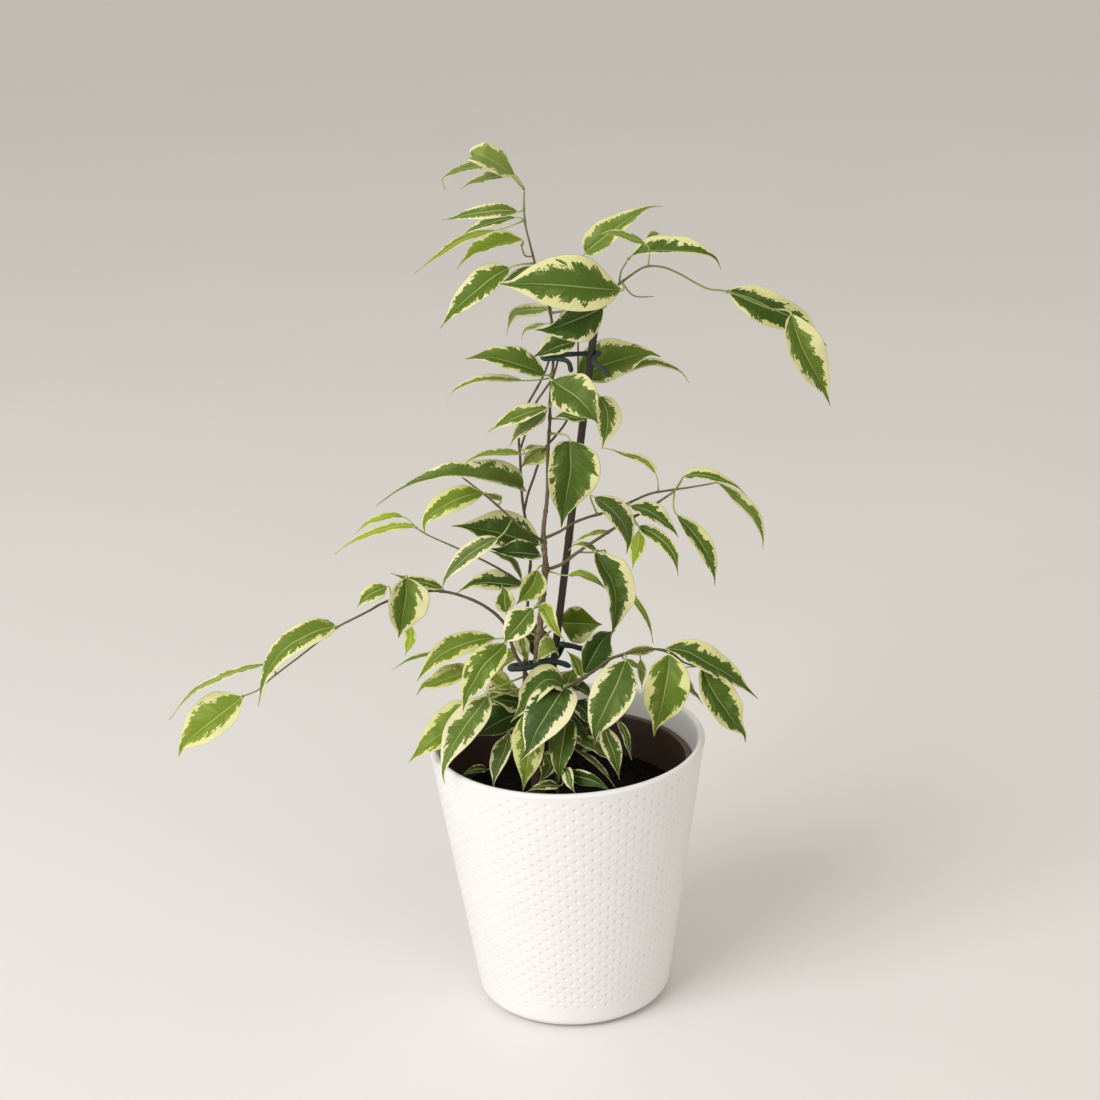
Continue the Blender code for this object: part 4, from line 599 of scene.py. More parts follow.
# %% A tube along a curve, with the marks a finish reads
def tube(line, radii, around, uneven=0.0, seed=0.0):
    """Points, faces and marks of a rod; its ends close in a low dome."""
    side = (line[1] - line[0]).cross(Vector((0.31, 0.17, 0.93))).normalized()
    points, rings, place = [], [], []
    along = 0.0
    for k, (p, radius) in enumerate(zip(line, radii)):
        run = (line[min(k + 1, len(line) - 1)] - line[max(k - 1, 0)]).normalized()
        side = (side - run * side.dot(run)).normalized()
        other = run.cross(side)
        if k:
            along += (p - line[k - 1]).length
        rings.append([len(points) + i for i in range(around)])
        for i in range(around):
            a = 2 * math.pi * i / around
            wobble = noise.noise(Vector((math.cos(a) * 1.3, math.sin(a) * 1.3 + seed, along * 0.35)))
            points.append(p + (side * math.cos(a) + other * math.sin(a)) * radius * (1 + uneven * wobble))
            place.append((math.cos(a), math.sin(a), along))
    faces = []
    for one, two in zip(rings, rings[1:]):
        faces += join_rings(one, two)
    for ring, p, next_p, radius, at in ((rings[0], line[0], line[1], radii[0], 0.0),
                                        (rings[-1], line[-1], line[-2], radii[-1], along)):
        faces += join_rings(ring, [len(points)])
        points.append(p + (p - next_p).normalized() * radius * 0.35)
        place.append((0.0, 0.0, at))
    return points, faces, place


# %% [markdown]
# ## The woody parts
# Two stems and two low shoots rise from the soil; five twigs and two top shoots leave them. Each path
# is a list of measured points with the radii it has from foot to tip, and one piece can have several.

# %% Measured paths of the stems and twigs
ROOT_DEPTH = 13.0
PATHS = {
    "main": ((-15, -3), (
        (-15.5, 150, 3), (-15, 175, 3), (-14.5, 196, 2), (-12, 215, 1), (-10.5, 230, 0), (-8, 246, 0),
        (-8.5, 266, 0), (-7, 278, 0), (-5.5, 288.5, 0), (-5, 300, 0), (-4.5, 312, 0), (-3, 326, 0),
        (-2.5, 338, 0), (-1, 350, 0), (0, 362, 0), (0, 380, -1), (-3, 396, -1), (-7.6, 411, 0)),
        (2.2, 2.1, 1.9, 1.6, 1.1, 0.8, 0.7, 0.65)),
    "left_twig": (None, ((-8.3, 261, 0), (-13, 265.5, 6), (-20.5, 271, 9), (-34.5, 285.5, 5), (-50, 299.5, 3)),
                  (0.7, 0.6, 0.45)),
    "second": ((-24, 9), (
        (-23, 160, -9), (-20.5, 200, -9), (-18, 230, -9), (-17, 243.5, -8), (-15.5, 253, -8), (-16.5, 265, -8),
        (-18, 278.5, -7), (-19, 289, -7), (-19, 308, -7), (-19, 325, -7), (-14, 337.5, -6), (-7.5, 348, -6),
        (-3.5, 357, -6), (0, 366, -6), (5, 385, -6)), (1.3, 1.1, 0.9, 0.8, 0.7, 0.6, 0.5)),
    "second_back": (None, (
        (-18, 279, -7), (-15.5, 289.5, -7.5), (-11.5, 299.5, -8), (-9, 307, -8), (-5, 315, -8), (1, 321, -8),
        (8, 332, -10), (12, 350, -14), (13, 370, -15), (14, 390, -11), (16.5, 408, -5)), (0.7, 0.6, 0.5, 0.45)),
    "second_mid": (None, (
        (-19, 313, -7), (-13, 328.5, -5), (-10, 337.5, -4.5), (-5.5, 344, -4.5), (0.5, 353, -3.5),
        (2.5, 361, -3), (6, 372, -4), (14, 385, -4), (24, 393, -3), (33, 397.5, 0)), (0.6, 0.55, 0.5)),
    "low_left": ((-19, -12), (
        (-17.5, 160, 9), (-20.5, 186, 7), (-26, 198.5, 7), (-28.5, 207.5, 8), (-32, 218, 8), (-43.5, 228.5, 10),
        (-58.5, 235, 11), (-70, 236.5, 12), (-93, 231.5, 15), (-106.5, 224.5, 17), (-120, 218, 19),
        (-138.5, 204, 22), (-156, 191, 25), (-167, 182, 26), (-173.5, 180, 26)),
        (1.4, 1.2, 1.0, 0.8, 0.65, 0.5, 0.4)),
    "low_shoot": ((-6, -14), ((-6, 140, 17), (-5, 152, 20), (-3, 160, 22)), (1.0, 0.8, 0.6)),
    "low_shoot_left": (None, ((-5.7, 144, 18), (-14, 153, 21), (-24, 156, 24), (-31, 154, 25)), (0.7, 0.6, 0.5)),
    "low_shoot_right": (None, ((-5.3, 149, 19), (4, 152, 22), (12, 154, 24), (20, 156, 24)), (0.7, 0.6, 0.5)),
    "right_low": (None, (
        (-12, 166, 6), (-6, 172, 12), (1.5, 178.5, 15), (10, 183.5, 18), (17.5, 188.5, 20), (24, 193.5, 21),
        (30, 195.5, 21), (39, 198, 20), (50.5, 198.5, 19), (54, 198.5, 19), (59.5, 194.5, 18), (64, 190.5, 17),
        (72.5, 187.5, 14), (79.5, 186.5, 12)), (1.1, 0.9, 0.8, 0.6, 0.45)),
    "right_mid": (None, (
        (-6, 245, 2), (-2, 247.5, 5), (3, 250.5, 7), (9.5, 255.5, 8), (19.5, 262, 9), (30.5, 269, 9),
        (40, 274.5, 8), (46, 277, 6), (53, 282, 5), (59.5, 286.2, 6), (62.5, 290, 8), (65.5, 294.5, 8)),
        (0.95, 0.8, 0.65, 0.5)),
    "right_mid_fork": (None, ((9.5, 255.3, 8), (18, 255, 9), (24, 256, 11)), (0.5, 0.4)),
    "right_up": (None, (
        (-6, 263, 2), (0.5, 267.5, 5), (7, 271.5, 7), (15, 274.5, 7), (23, 276.5, 6), (36, 281, 4),
        (43.5, 285, 3), (49, 286.5, 2), (59.5, 288, 1), (69.5, 289, 0), (76, 290, 0), (82.5, 291, 0)),
        (0.8, 0.7, 0.6, 0.45)),
    "left_low": (None, (
        (-12, 233, 1), (-21.5, 239.5, 3), (-33, 248, 6), (-46.5, 256, 9), (-55, 260.5, 10), (-63.5, 265, 11),
        (-70, 268.5, 12), (-75, 272, 14)), (0.7, 0.6, 0.5, 0.4)),
    "top_left": (None, ((-8, 412.3, 0), (-9.5, 420, 1), (-11.5, 430, 2), (-12, 437.5, 3), (-11.5, 448.5, 4)),
                 (0.6, 0.5, 0.4)),
    "top_left_fork": (None, ((-8.4, 414.5, 0.4), (-11, 414, 3), (-14, 417, 4), (-14, 420, 4)), (0.45, 0.4)),
    "top_right": (None, (
        (34, 398.4, 0), (38.5, 401.5, 2), (48, 407, 4), (55, 407, 6), (63, 404, 8), (70, 400, 10),
        (78, 395, 12), (90, 392.5, 18), (103, 386.5, 22), (112, 382.5, 24)), (0.6, 0.5, 0.45, 0.4)),
    "top_right_fork": (None, ((34.6, 398.8, 0.5), (34.8, 402, 0), (36, 405.5, 0), (39.5, 411, 0)), (0.45, 0.4)),
    "top_right_stub": (None, ((36, 399.8, 0.9), (37, 394.5, 1), (41.5, 392.5, 1), (48, 391, 1), (52.5, 391.5, 1)),
                       (0.4, 0.3)),
}
SPRUNG_FROM = {"top_left": "main", "top_right": "second_mid", "left_low": "main", "right_up": "main",
               "right_mid": "main", "right_low": "main"}
PIECE_PATHS = {
    "main_stem": ("main", "left_twig"),
    "second_stem": ("second", "second_back", "second_mid"),
    "shoot_low_left": ("low_left",),
    "shoot_low_middle": ("low_shoot", "low_shoot_left", "low_shoot_right"),
    "shoot_top_left": ("top_left", "top_left_fork"),
    "shoot_top_right": ("top_right", "top_right_fork", "top_right_stub"),
    "twig_left": ("left_low",),
    "twig_right_upper": ("right_up",),
    "twig_right_middle": ("right_mid", "right_mid_fork"),
    "twig_right_low": ("right_low",),
}
BEARERS = {
    "M": ("main_stem", ("main",)),
    "T3": ("main_stem", ("left_twig",)),
    "S": ("second_stem", ("second", "second_mid")),
    "SB": ("second_stem", ("second_back",)),
    "SM": ("second_stem", ("second_mid",)),
    "T1": ("shoot_low_left", ("low_left",)),
    "LS": ("shoot_low_middle", ("low_shoot", "low_shoot_left", "low_shoot_right")),
    "TL": ("shoot_top_left", ("top_left", "top_left_fork")),
    "T7": ("shoot_top_right", ("top_right", "top_right_fork")),
    "T2": ("twig_left", ("left_low",)),
    "T4": ("twig_right_upper", ("right_up",)),
    "T5": ("twig_right_middle", ("right_mid", "right_mid_fork")),
    "T6": ("twig_right_low", ("right_low",)),
}


# %% Turn the measured points into paths with even steps
def wood_path(rooted_at, seen, radii):
    points = [sight(*p) for p in seen]
    if rooted_at:
        x, y = rooted_at
        points = [Vector((x, y, SOIL_TOP - ROOT_DEPTH)), Vector((x, y, SOIL_TOP + 2.0))] + points
    count = max(3, round(path_length(points) / 9.0) + 1)
    return spline(points, count), [blend(radii, i / (count - 1)) for i in range(count)]


def nearest(names, point):
    """The closest place on the named paths: path name, length along it, centre, direction, radius."""
    best = None
    for name in names:
        line, radii = WOOD[name]
        passed = 0.0
        for k in range(len(line) - 1):
            a, b = line[k], line[k + 1]
            ab = b - a
            t = min(max((point - a).dot(ab) / ab.length_squared, 0.0), 1.0)
            q = a + ab * t
            d = (point - q).length
            if best is None or d < best[0]:
                best = (d, name, passed + ab.length * t, q, ab.normalized(), radii[k] + (radii[k + 1] - radii[k]) * t)
            passed += ab.length
    return best[1:]


WOOD = {name: wood_path(*path) for name, path in PATHS.items()}
for name, parent in SPRUNG_FROM.items():
    line, radii = WOOD[name]
    WOOD[name] = ([nearest([parent], line[0])[2]] + line[1:], radii)
print("wood", round(sum(path_length(line) for line, _ in WOOD.values())), "mm in", len(WOOD), "paths")

# %% [markdown]
# ## The leaves' measures
# Each row was read from the picture: the blade's full width, how far its face is turned about
# its midrib, how much its halves fold up, its lean (above 1 the fullest part sits nearer the stalk,
# below 1 nearer the tip), and three to nine points along the midrib. Then come its markings: how far
# green reaches from the midrib on each half, how lime, how grey-green and how dark that green is, and
# how yellow its margin is. Rows named small_ grow as one piece with their twig.
# The dark mark and the green reach are partly painted shade: leaves that hang in shade are given a darker green than
# their own, and the darkest of them green that reaches past the margin with little yellow, so no cream edge shows.

# %% Measured leaves
LEAVES = [
    ("small_1", "TL", 16.4, 38, 14, 0.75, ((-16, 456, 8), (-21, 459.5, 13), (-27, 463.5, 16),
     (-32.5, 466.5, 17), (-35.5, 467, 11), (-35.5, 465.5, 3)), (0.94, 0.91, 0.3, 0.8, 0, 0.4)),
    ("small_2", "TL", 7.4, 48, 18, 1, ((-22, 458.5, 0), (-28.5, 461, 1), (-36.5, 460.5, 2), (-44, 459, 4),
     (-51.5, 455.5, 6), (-51, 450, 6)), (0.94, 0.94, 0.1, 0.9, 0, 0.3)),
    ("small_3", "TL", 7.9, 51, 22, 1, ((-19, 456, 4), (-25, 455.5, 6), (-31.5, 454, 8), (-39, 452, 10),
     (-43.5, 449.5, 10)), (0.94, 0.94, 0.1, 0.9, 0, 0.3)),
    ("small_4", "TL", 8, 8, 15, 1, ((-15.5, 437.5, 6), (-23, 438.5, 10), (-31, 438, 12), (-40, 437, 12),
     (-48, 435.5, 12), (-53.5, 434.5, 12)), (0.84, 0.84, 0.1, 0.5, 0.3, 0.2)),
    ("small_5", "TL", 9, 43, 22, 1, ((-16.5, 434.5, -6), (-23, 433.5, -8), (-31.5, 431.5, -9), (-39, 429, -10),
     (-43.5, 426, -12)), (0.81, 0.81, 0, 0.3, 0.4, 0.4)),
    ("small_6", "TL", 4.3, 20, 18, 1, ((-26.5, 428.5, 14), (-37.5, 426.5, 18), (-46.5, 423, 22),
     (-57.5, 416, 26), (-68.5, 408, 28)), (0.88, 0.88, 0.5, 0.4, 0, 0.7)),
    ("small_7", "TL", 16.2, 54, 28, 1, ((-13.5, 423, 4), (-25.5, 421, 6), (-37, 417.5, 8), (-43.5, 413, 10),
     (-47, 409.5, 10)), (0.88, 0.88, 0.4, 0.1, 0.2, 0.6)),
    ("small_12", "T7", 5, 20, 20, 1, ((48, 419, 10), (40, 422.5, 14), (32, 425, 18), (22.5, 424, 22)),
     (0.94, 0.94, 0.4, 0.6, 0, 0.5)),
    ("small_12b", "T7", 7, 24, 10, 1, ((48.5, 420, -2), (52.5, 422.5, -10), (55.5, 424, -18)),
     (0.94, 0.94, 0.4, 0.6, 0, 0.5)),
    ("small_13", "T7", 20, -59, 24, 1, ((41.5, 413, 0), (49.5, 415, 3), (62.5, 414.5, 8), (75, 413.5, 10),
     (83, 410, 10), (86.5, 404, 10)), (0.78, 0.63, 0, 0.1, 0.6, 0.5)),
    ("small_14", "T7", 18.6, 13, 20, 1.1, ((90.5, 393, 14), (103, 388, 14), (113, 382.5, 12), (125.5, 376.5, 8),
     (133, 370, 4), (140, 362.5, 0)), (0.91, 0.66, 0, 0, 0.8, 0.7)),
    ("small_15", "T7", 21.8, -27, 22, 1, ((122, 379.5, 24), (124, 371.5, 28), (127.5, 361.5, 30),
     (132, 352.5, 30), (138, 341, 28), (142, 330.5, 26)), (0.88, 0.54, 0.1, 0.2, 0.3, 0.5)),
    ("leaf_8", "M", 17.4, 31, 20, 1.1, ((-20.5, 409, 8), (-29, 404.5, 10), (-37.5, 398, 10), (-49, 388.5, 8),
     (-57, 379, 5)), (0.75, 0.97, 0.1, 0, 0.45, 0.4)),
    ("small_9", "M", 9.2, -32, 30, 1, ((-8, 409.5, -4), (-15.5, 406.5, -6), (-24.5, 402, -8)),
     (0.94, 0.94, 0.1, 0.7, 0, 0.4)),
    ("leaf_10", "T7", 31.3, 20, 20, 0.8, ((35.5, 395.5, 10), (21.5, 397, 18), (6.5, 399, 23),
     (-10.5, 400.5, 23), (-21.5, 400.5, 20), (-26, 401, 18)), (0.75, 0.78, 0, 0.2, 0.5, 0.6)),
    ("leaf_11", "SB", 16.7, -30, 26, 1.4, ((18, 415.5, -4), (26, 421.5, -4), (33.5, 427, -4), (42, 433, -6),
     (50, 437, -8), (57, 437.5, -8)), (0.94, 0.78, 0.1, 0.5, 0.1, 0.8)),
    ("leaf_16", "M", 24.5, -27, 22, 1, ((26, 386.5, 4), (18.5, 383.5, 8), (10.5, 380.5, 14), (0, 377, 20),
     (-8.5, 376.5, 22)), (0.81, 0.97, 0, 0, 0.9, 0.4)),
    ("small_17", "M", 7, 0, 15, 1, ((-0.5, 387.5, -4), (-10.5, 387, -7), (-18, 386, -8), (-21, 382.5, -8),
     (-23.5, 374.5, -8)), (0.63, 0.66, 0.3, 1, 0, 0.3)),
    ("small_17b", "M", 3.1, 0, 12, 1, ((-3.5, 379.5, -8), (-9, 378.5, -8), (-14, 376.5, -8), (-16, 371.5, -8)),
     (0.63, 0.66, 0.3, 1, 0, 0.3)),
    ("small_18", "M", 15.9, 30, 30, 1, ((11.5, 369.5, 0), (3.5, 367.5, 2), (-4, 364.5, 4), (-11, 362, 4)),
     (0.75, 0.81, 0, 0.1, 0.7, 0.3)),
    ("small_19", "SB", 26.2, -24, 25, 1, ((12.5, 350.5, -15), (20.5, 354.5, -17), (29, 357.5, -18),
     (38.5, 360, -18), (47.5, 362, -18), (55, 360, -18)), (0.91, 0.91, 0.1, 0.2, 0.4, 0.5)),
    ("small_20", "SB", 8, -52, 18, 1, ((30, 349, -28), (38.5, 353.5, -30), (50, 356.5, -31), (57.5, 355, -32),
     (65, 351.5, -33), (69.5, 345.5, -33)), (0.63, 0.69, 0.1, 0.3, 0.2, 0.4)),
    ("leaf_21", "M", 17.9, 40, 25, 0.85, ((-4.5, 352.5, 7), (-11.5, 356, 12), (-21, 359.5, 16),
     (-31, 362.5, 17), (-39, 363, 17), (-45, 362.5, 16)), (1.03, 0.94, 0.05, 0.1, 0.3, 0.5)),
    ("leaf_22", "M", 8.1, 56, 18, 1, ((-16, 350, 8), (-29.5, 351, 14), (-40, 350.5, 18), (-49.5, 347, 22),
     (-54, 343, 22), (-56.5, 337.5, 22)), (0.5, 0.54, 0.2, 0.6, 0, 0.2)),
    ("leaf_23", "M", 23.3, -13, 15, 0.8, ((-1, 349.5, 12), (5, 345, 18), (11.5, 340, 26), (17, 333.5, 29),
     (22, 325.5, 28)), (0.94, 0.97, 0, 0.35, 0.5, 0.7)),
    ("leaf_24", "M", 14.6, -19, 18, 1, ((23, 340, 12), (26, 334.5, 14), (27, 327.5, 14), (26, 320.5, 13),
     (23.5, 311.5, 12)), (0.81, 0.47, 0.1, 0.1, 0.4, 0.4)),
    ("leaf_25", "M", 11.1, 33, 20, 0.9, ((-4, 335, 8), (-11.5, 333.5, 10), (-20, 330.5, 11), (-27.5, 327.5, 12),
     (-35.5, 323, 12)), (0.75, 0.72, 0.1, 0.3, 0.3, 0.4)),
    ("leaf_26", "SM", 16.4, 55, 12, 1, ((-5, 332.5, 0), (-13, 326.5, 4), (-20, 321, 6), (-24.5, 314.5, 6)),
     (0.75, 0.75, 0, 0.7, 0.1, 0.2)),
    ("small_27", "M", 8.2, 37, 20, 1, ((14, 328, 0), (8.5, 329.5, 2), (3.5, 330.5, 4), (-1, 329, 6)),
     (0.81, 0.81, 0.1, 0.3, 0.3, 0.4)),
    ("small_28a", "SB", 2.4, -27, 10, 1, ((-11.5, 315, -4), (-13.5, 314.5, -2), (-16, 313.5, 0),
     (-18, 311.5, 0)), (0.75, 0.75, 0.6, 0.9, 0, 0.4)),
    ("small_28b", "SB", 12.8, -27, 25, 1, ((-4.5, 313.5, -8), (-11, 310.5, -8), (-16, 306.5, -8),
     (-19, 303, -8)), (0.75, 0.75, 0.6, 0.9, 0, 0.4)),
    ("leaf_29", "M", 30.3, -21, 22, 1.2, ((7, 316.5, 12), (7, 309.5, 16), (7, 301.5, 18), (5, 290.5, 18),
     (3.5, 283, 16), (2, 276, 14), (1, 269.5, 12)), (0.97, 0.94, 0, 0.15, 0.6, 0.6)),
    ("small_30", "T4", 5, 25, 18, 1.5, ((51, 297.5, 0), (48.5, 301.5, -2), (43, 305.5, -3), (34.5, 308.5, -4),
     (29, 311, -3), (23.5, 312.5, -2)), (0.54, 0.63, 0.3, 0.2, 0.5, 0.7)),
    ("leaf_31", "S", 23, 52, 32, 1.7, ((-18, 291.5, -2), (-27, 295, 3), (-36.5, 297.5, 8), (-46.5, 299.5, 10),
     (-56, 300.5, 12), (-64, 299.5, 12), (-74, 297, 12), (-83.5, 293, 12), (-95.5, 285, 12)),
     (0.81, 0.84, 0.1, 0.3, 0.6, 0.2)),
    ("small_32", "S", 7.1, 52, 20, 1, ((-17.5, 310.5, 0), (-26, 311, 2), (-33.5, 311, 4), (-41, 310, 6),
     (-46.5, 307.5, 9), (-48, 305, 11)), (0.88, 0.88, 0.3, 0.7, 0, 0.4)),
    ("leaf_33", "T3", 14.5, 24, 16, 0.8, ((-38.5, 290, 10), (-44.5, 289.5, 14), (-52, 287.5, 19),
     (-59.5, 284, 22), (-66.5, 279.5, 24), (-70.5, 274.5, 24), (-70.5, 268.5, 24)),
     (0.75, 0.75, 0.3, 0.1, 0.3, 0.9)),
    ("small_33b", "T3", 8.2, 60, 10, 1, ((-30, 285.5, 4), (-34.5, 288, 0), (-39, 290.5, -4)),
     (0.75, 0.75, 0.3, 0.3, 0, 0.6)),
    ("small_34a", "T2", 4.7, 34, 18, 1, ((-81.5, 278.5, 12), (-86.5, 279.5, 14), (-94.5, 278, 16),
     (-101.5, 275, 16), (-107.5, 270, 16)), (0.88, 0.88, 0.85, 0.2, 0, 0.8)),
    ("small_34b", "T2", 4.9, 24, 14, 1.2, ((-75.5, 273, 16), (-85.5, 273.5, 18), (-99.5, 270, 20),
     (-111.5, 264.5, 20), (-119, 259, 20)), (0.88, 0.88, 0.85, 0.2, 0, 0.8)),
    ("leaf_35", "M", 26.1, 31, 25, 1, ((-11, 260.5, 1), (-21.5, 264, 1), (-31.5, 267.5, 2), (-43, 270.5, 3),
     (-50.5, 272, 4), (-56.5, 272.5, 4)), (0.78, 0.94, 0, 0.1, 0.8, 0.5)),
    ("leaf_36", "T3", 11.5, 24, 20, 1, ((-32.5, 265, 18), (-39.5, 261.5, 22), (-47.5, 256.5, 24),
     (-55.5, 249.5, 26), (-60.5, 244, 26), (-63.5, 237, 26)), (0.75, 0.75, 0, 0.7, 0.5, 0.1)),
    ("leaf_37", "M", 15.4, 42, 25, 1, ((-10.5, 254.5, 8), (-20.5, 256, 14), (-29.5, 257, 16), (-38, 259.5, 16)),
     (1.06, 1.06, 0, 0, 1, 0.3)),
    ("small_37b", "T2", 9.8, 68, 12, 1, ((-21, 241.5, 3), (-26, 251, -1), (-32, 255, -3), (-39, 259, -4)),
     (0.81, 0.81, 0.1, 0.2, 0.4, 0.4)),
    ("leaf_38", "T4", 18.9, -50, 12, 1, ((19, 285.5, 18), (27.5, 278.5, 22), (33.5, 270, 24), (36, 262, 24),
     (35, 253.5, 22)), (0.91, 0.91, 0, 0.3, 0.7, 0.3)),
    ("small_39", "T4", 14.8, -50, 12, 1, ((38, 280, 10), (47.5, 276.5, 14), (55.5, 270, 17), (60, 265.5, 18),
     (62.5, 261.5, 17)), (0.94, 0.72, 0, 0.3, 0.7, 0.4)),
    ("small_40", "T5", 7.8, -5, 14, 1, ((41.5, 268.5, 10), (49, 264.5, 14), (56, 258, 16), (60.5, 250, 16),
     (62, 240, 14)), (0.88, 0.91, 0.1, 0.1, 0.6, 0.6)),
    ("small_40b", "T5", 11.5, 40, 10, 1, ((42, 266, 14), (41.5, 259, 16), (39.5, 252.5, 16), (38, 245, 16)),
     (0.88, 0.88, 0.7, 0.2, 0, 0.8)),
    ("small_41", "T4", 12.2, -30, 20, 0.9, ((62, 274, 2), (70, 264, 4), (75.5, 255.5, 6), (79.5, 246.5, 6),
     (81, 239.5, 4), (81.5, 233.5, 4)), (0.88, 0.63, 0, 0.2, 0.45, 0.7)),
    ("small_42", "T5", 10.4, -53, 20, 1.3, ((66, 295, 8), (73, 295.5, 10), (80.5, 294, 12), (88.5, 291, 12),
     (94.5, 287.5, 10), (98.5, 283, 8)), (0.91, 0.5, 0.1, 0, 0.6, 0.8)),
    ("small_43", "T4", 10.8, -48, 22, 0.85, ((83.5, 291, 0), (88.5, 286.5, 2), (93.5, 281, 4), (99, 275.5, 6),
     (103.5, 269, 6), (106.5, 260.5, 6), (107, 253, 6)), (0.72, 0.6, 0.2, 0.3, 0.2, 0.4)),
    ("small_44", "T5", 3.5, 28, 12, 1, ((26, 266.5, 4), (18, 265.5, 4), (11.5, 263, 4), (6.5, 260.5, 4)),
     (0.75, 0.75, 0.2, 0.2, 0.3, 0.5)),
    ("small_44b", "T5", 4.6, 41, 16, 1, ((19.5, 255.5, 6), (14, 259, 8), (8, 259.5, 8), (4.5, 256.5, 8)),
     (0.75, 0.75, 0.2, 0.2, 0.3, 0.5)),
    ("leaf_45", "T5", 23, -35, 34, 1, ((18.5, 255, 14), (22.5, 246.5, 18), (26.5, 239, 20), (28.5, 229.5, 22),
     (28, 220, 22), (27, 213, 20), (25.5, 206.5, 18)), (1, 0.69, 0, 0.1, 0.65, 0.4)),
    ("leaf_46", "M", 7.6, -47, 24, 1, ((4, 242.5, 6), (10, 242.5, 10), (16.5, 239.5, 12), (21, 236.5, 12),
     (24, 233.5, 10)), (0.91, 0.91, 0.4, 0.5, 0.1, 0.5)),
    ("small_47", "T5", 4.3, -28, 12, 1, ((33, 238, -2), (39.5, 226, 0), (43.5, 219, 0), (46.5, 211, 0),
     (48, 202, 0)), (0.88, 0.88, 0.3, 0.1, 0.3, 0.5)),
    ("small_48", "T1", 10.3, 14, 12, 1, ((-92.5, 240, 14), (-97, 238, 16), (-103, 235, 18), (-109, 229, 18)),
     (0.75, 0.75, 0.2, 0.2, 0.3, 0.5)),
    ("small_49a", "T1", 25.6, -24, 25, 1, ((-82, 244.5, 20), (-82.5, 235, 24), (-84.5, 225.5, 26),
     (-86, 217.5, 26), (-88, 210.5, 24)), (0.69, 0.6, 0.1, 0.1, 0.3, 0.4)),
    ("small_49b", "T1", 6.6, 17, 12, 1, ((-63, 238, 10), (-71.5, 241, 14), (-80.5, 243.5, 14),
     (-90, 247.5, 12)), (0.75, 0.69, 0.1, 0.1, 0.5, 0.4)),
    ("small_51", "T1", 6.7, 10, 10, 1, ((-82, 218, 18), (-81.5, 211, 20), (-83, 205.5, 20), (-85, 200, 20)),
     (0.88, 0.88, 0.9, 0.2, 0, 0.8)),
    ("small_56", "T1", 15.6, 26, 15, 1.25, ((-121, 218.5, 18), (-131.5, 216, 22), (-144, 210, 26),
     (-153, 202.5, 28), (-161, 189.5, 30), (-165.5, 174, 30)), (0.94, 0.63, 0.2, 0.2, 0.4, 0.5)),
    ("small_58", "T1", 4.1, 18, 14, 1, ((-159, 198.5, 24), (-173, 195.5, 28), (-187, 190.5, 30),
     (-199, 184.5, 30), (-205.5, 178.5, 30), (-214, 168, 28)), (0.81, 0.81, 0.3, 0.8, 0, 0.3)),
    ("small_59", "T1", 26.3, 27, 22, 1, ((-174, 179.5, 26), (-187.5, 169, 30), (-200, 159.5, 32),
     (-207.5, 153, 32), (-211, 146, 30)), (0.84, 0.69, 0.4, 0.2, 0.2, 0.6)),
    ("leaf_52", "T2", 14.5, 33, 25, 1, ((-21.5, 237.5, 4), (-31, 239, 3), (-39.5, 240, 3), (-47.5, 239, 4),
     (-55.5, 235, 4)), (0.72, 0.54, 0, 0.1, 0.8, 0.4)),
    ("small_53", "M", 15.2, -18, 20, 1, ((-12.5, 246, 8), (-15, 238.5, 10), (-19.5, 232.5, 12),
     (-24.5, 227, 13)), (0.78, 0.84, 0.3, 0, 0.7, 0.8)),
    ("small_54", "M", 17.2, 15, 20, 0.9, ((-15.5, 224.5, 24), (-19.5, 220, 27), (-24, 214.5, 30),
     (-28.5, 209.5, 31), (-32, 205, 29)), (0.72, 0.75, 0, 0.3, 0.4, 0.1)),
    ("small_54c", "M", 11.5, 15, 10, 1, ((-30, 223, 16), (-30.5, 229, 16), (-30.5, 233.5, 16),
     (-31.5, 239, 16)), (0.75, 0.75, 0.1, 0.2, 0.3, 0.4)),
    ("leaf_55", "M", 8.2, -3, 18, 1, ((-12, 226, 12), (-9, 223.5, 20), (-7, 219, 24), (-4.5, 213, 26),
     (1, 205, 26)), (0.84, 0.84, 0.6, 0.1, 0.2, 0.7)),
    # Painted shade: small_55b hangs in shade, so it is given the darkest green and no cream margin.
    ("small_55b", "M", 23, 10, 8, 1, ((-8, 210, -14), (-10.5, 208, -14), (-16, 206, -14), (-22, 207, -14)),
     (1.06, 1.06, 0, 0, 1, 0.3)),
    ("small_55c", "M", 9.8, 30, 8, 1, ((-23, 211.5, -4), (-22, 204.5, -6), (-20.5, 198, -6),
     (-18.5, 192.5, -6)), (0.57, 0.57, 0.2, 0.3, 0.3, 0.5)),
    ("small_55d", "M", 13.1, 40, 12, 1, ((-4, 201, 10), (-7.5, 202, 16), (-11, 199, 18), (-15, 194, 18)),
     (0.88, 0.88, 0.5, 0.5, 0, 0.5)),
    ("leaf_76", "M", 22.4, 20, 14, 0.85, ((-1, 216, -18), (3, 215.5, -16), (9.5, 215, -14), (15.5, 214.5, -12),
     (21, 214, -10)), (0.84, 1.06, 0.25, 0, 0.75, 0.6)),
    ("leaf_77", "T6", 19.1, 23, 20, 0.8, ((10.5, 186, 16), (14.5, 194, 12), (19, 202, 8), (23, 207, 4),
     (28, 210.5, 1)), (1.09, 1.09, 0, 0, 1, 0.3)),
    ("small_77d", "T6", 6.6, 0, 12, 1, ((9, 184.5, 8), (7.5, 190.5, 6), (5, 195.5, 5), (1.5, 199.5, 4)),
     (0.88, 0.88, 0.4, 0, 0.5, 0.5)),
    ("small_79", "T6", 5.9, -22, 12, 1, ((49, 198.5, 6), (43.5, 198.5, 6), (37.5, 198, 8), (33, 197, 10),
     (30, 195.5, 10)), (0.91, 0.91, 0.4, 0.5, 0.1, 0.5)),
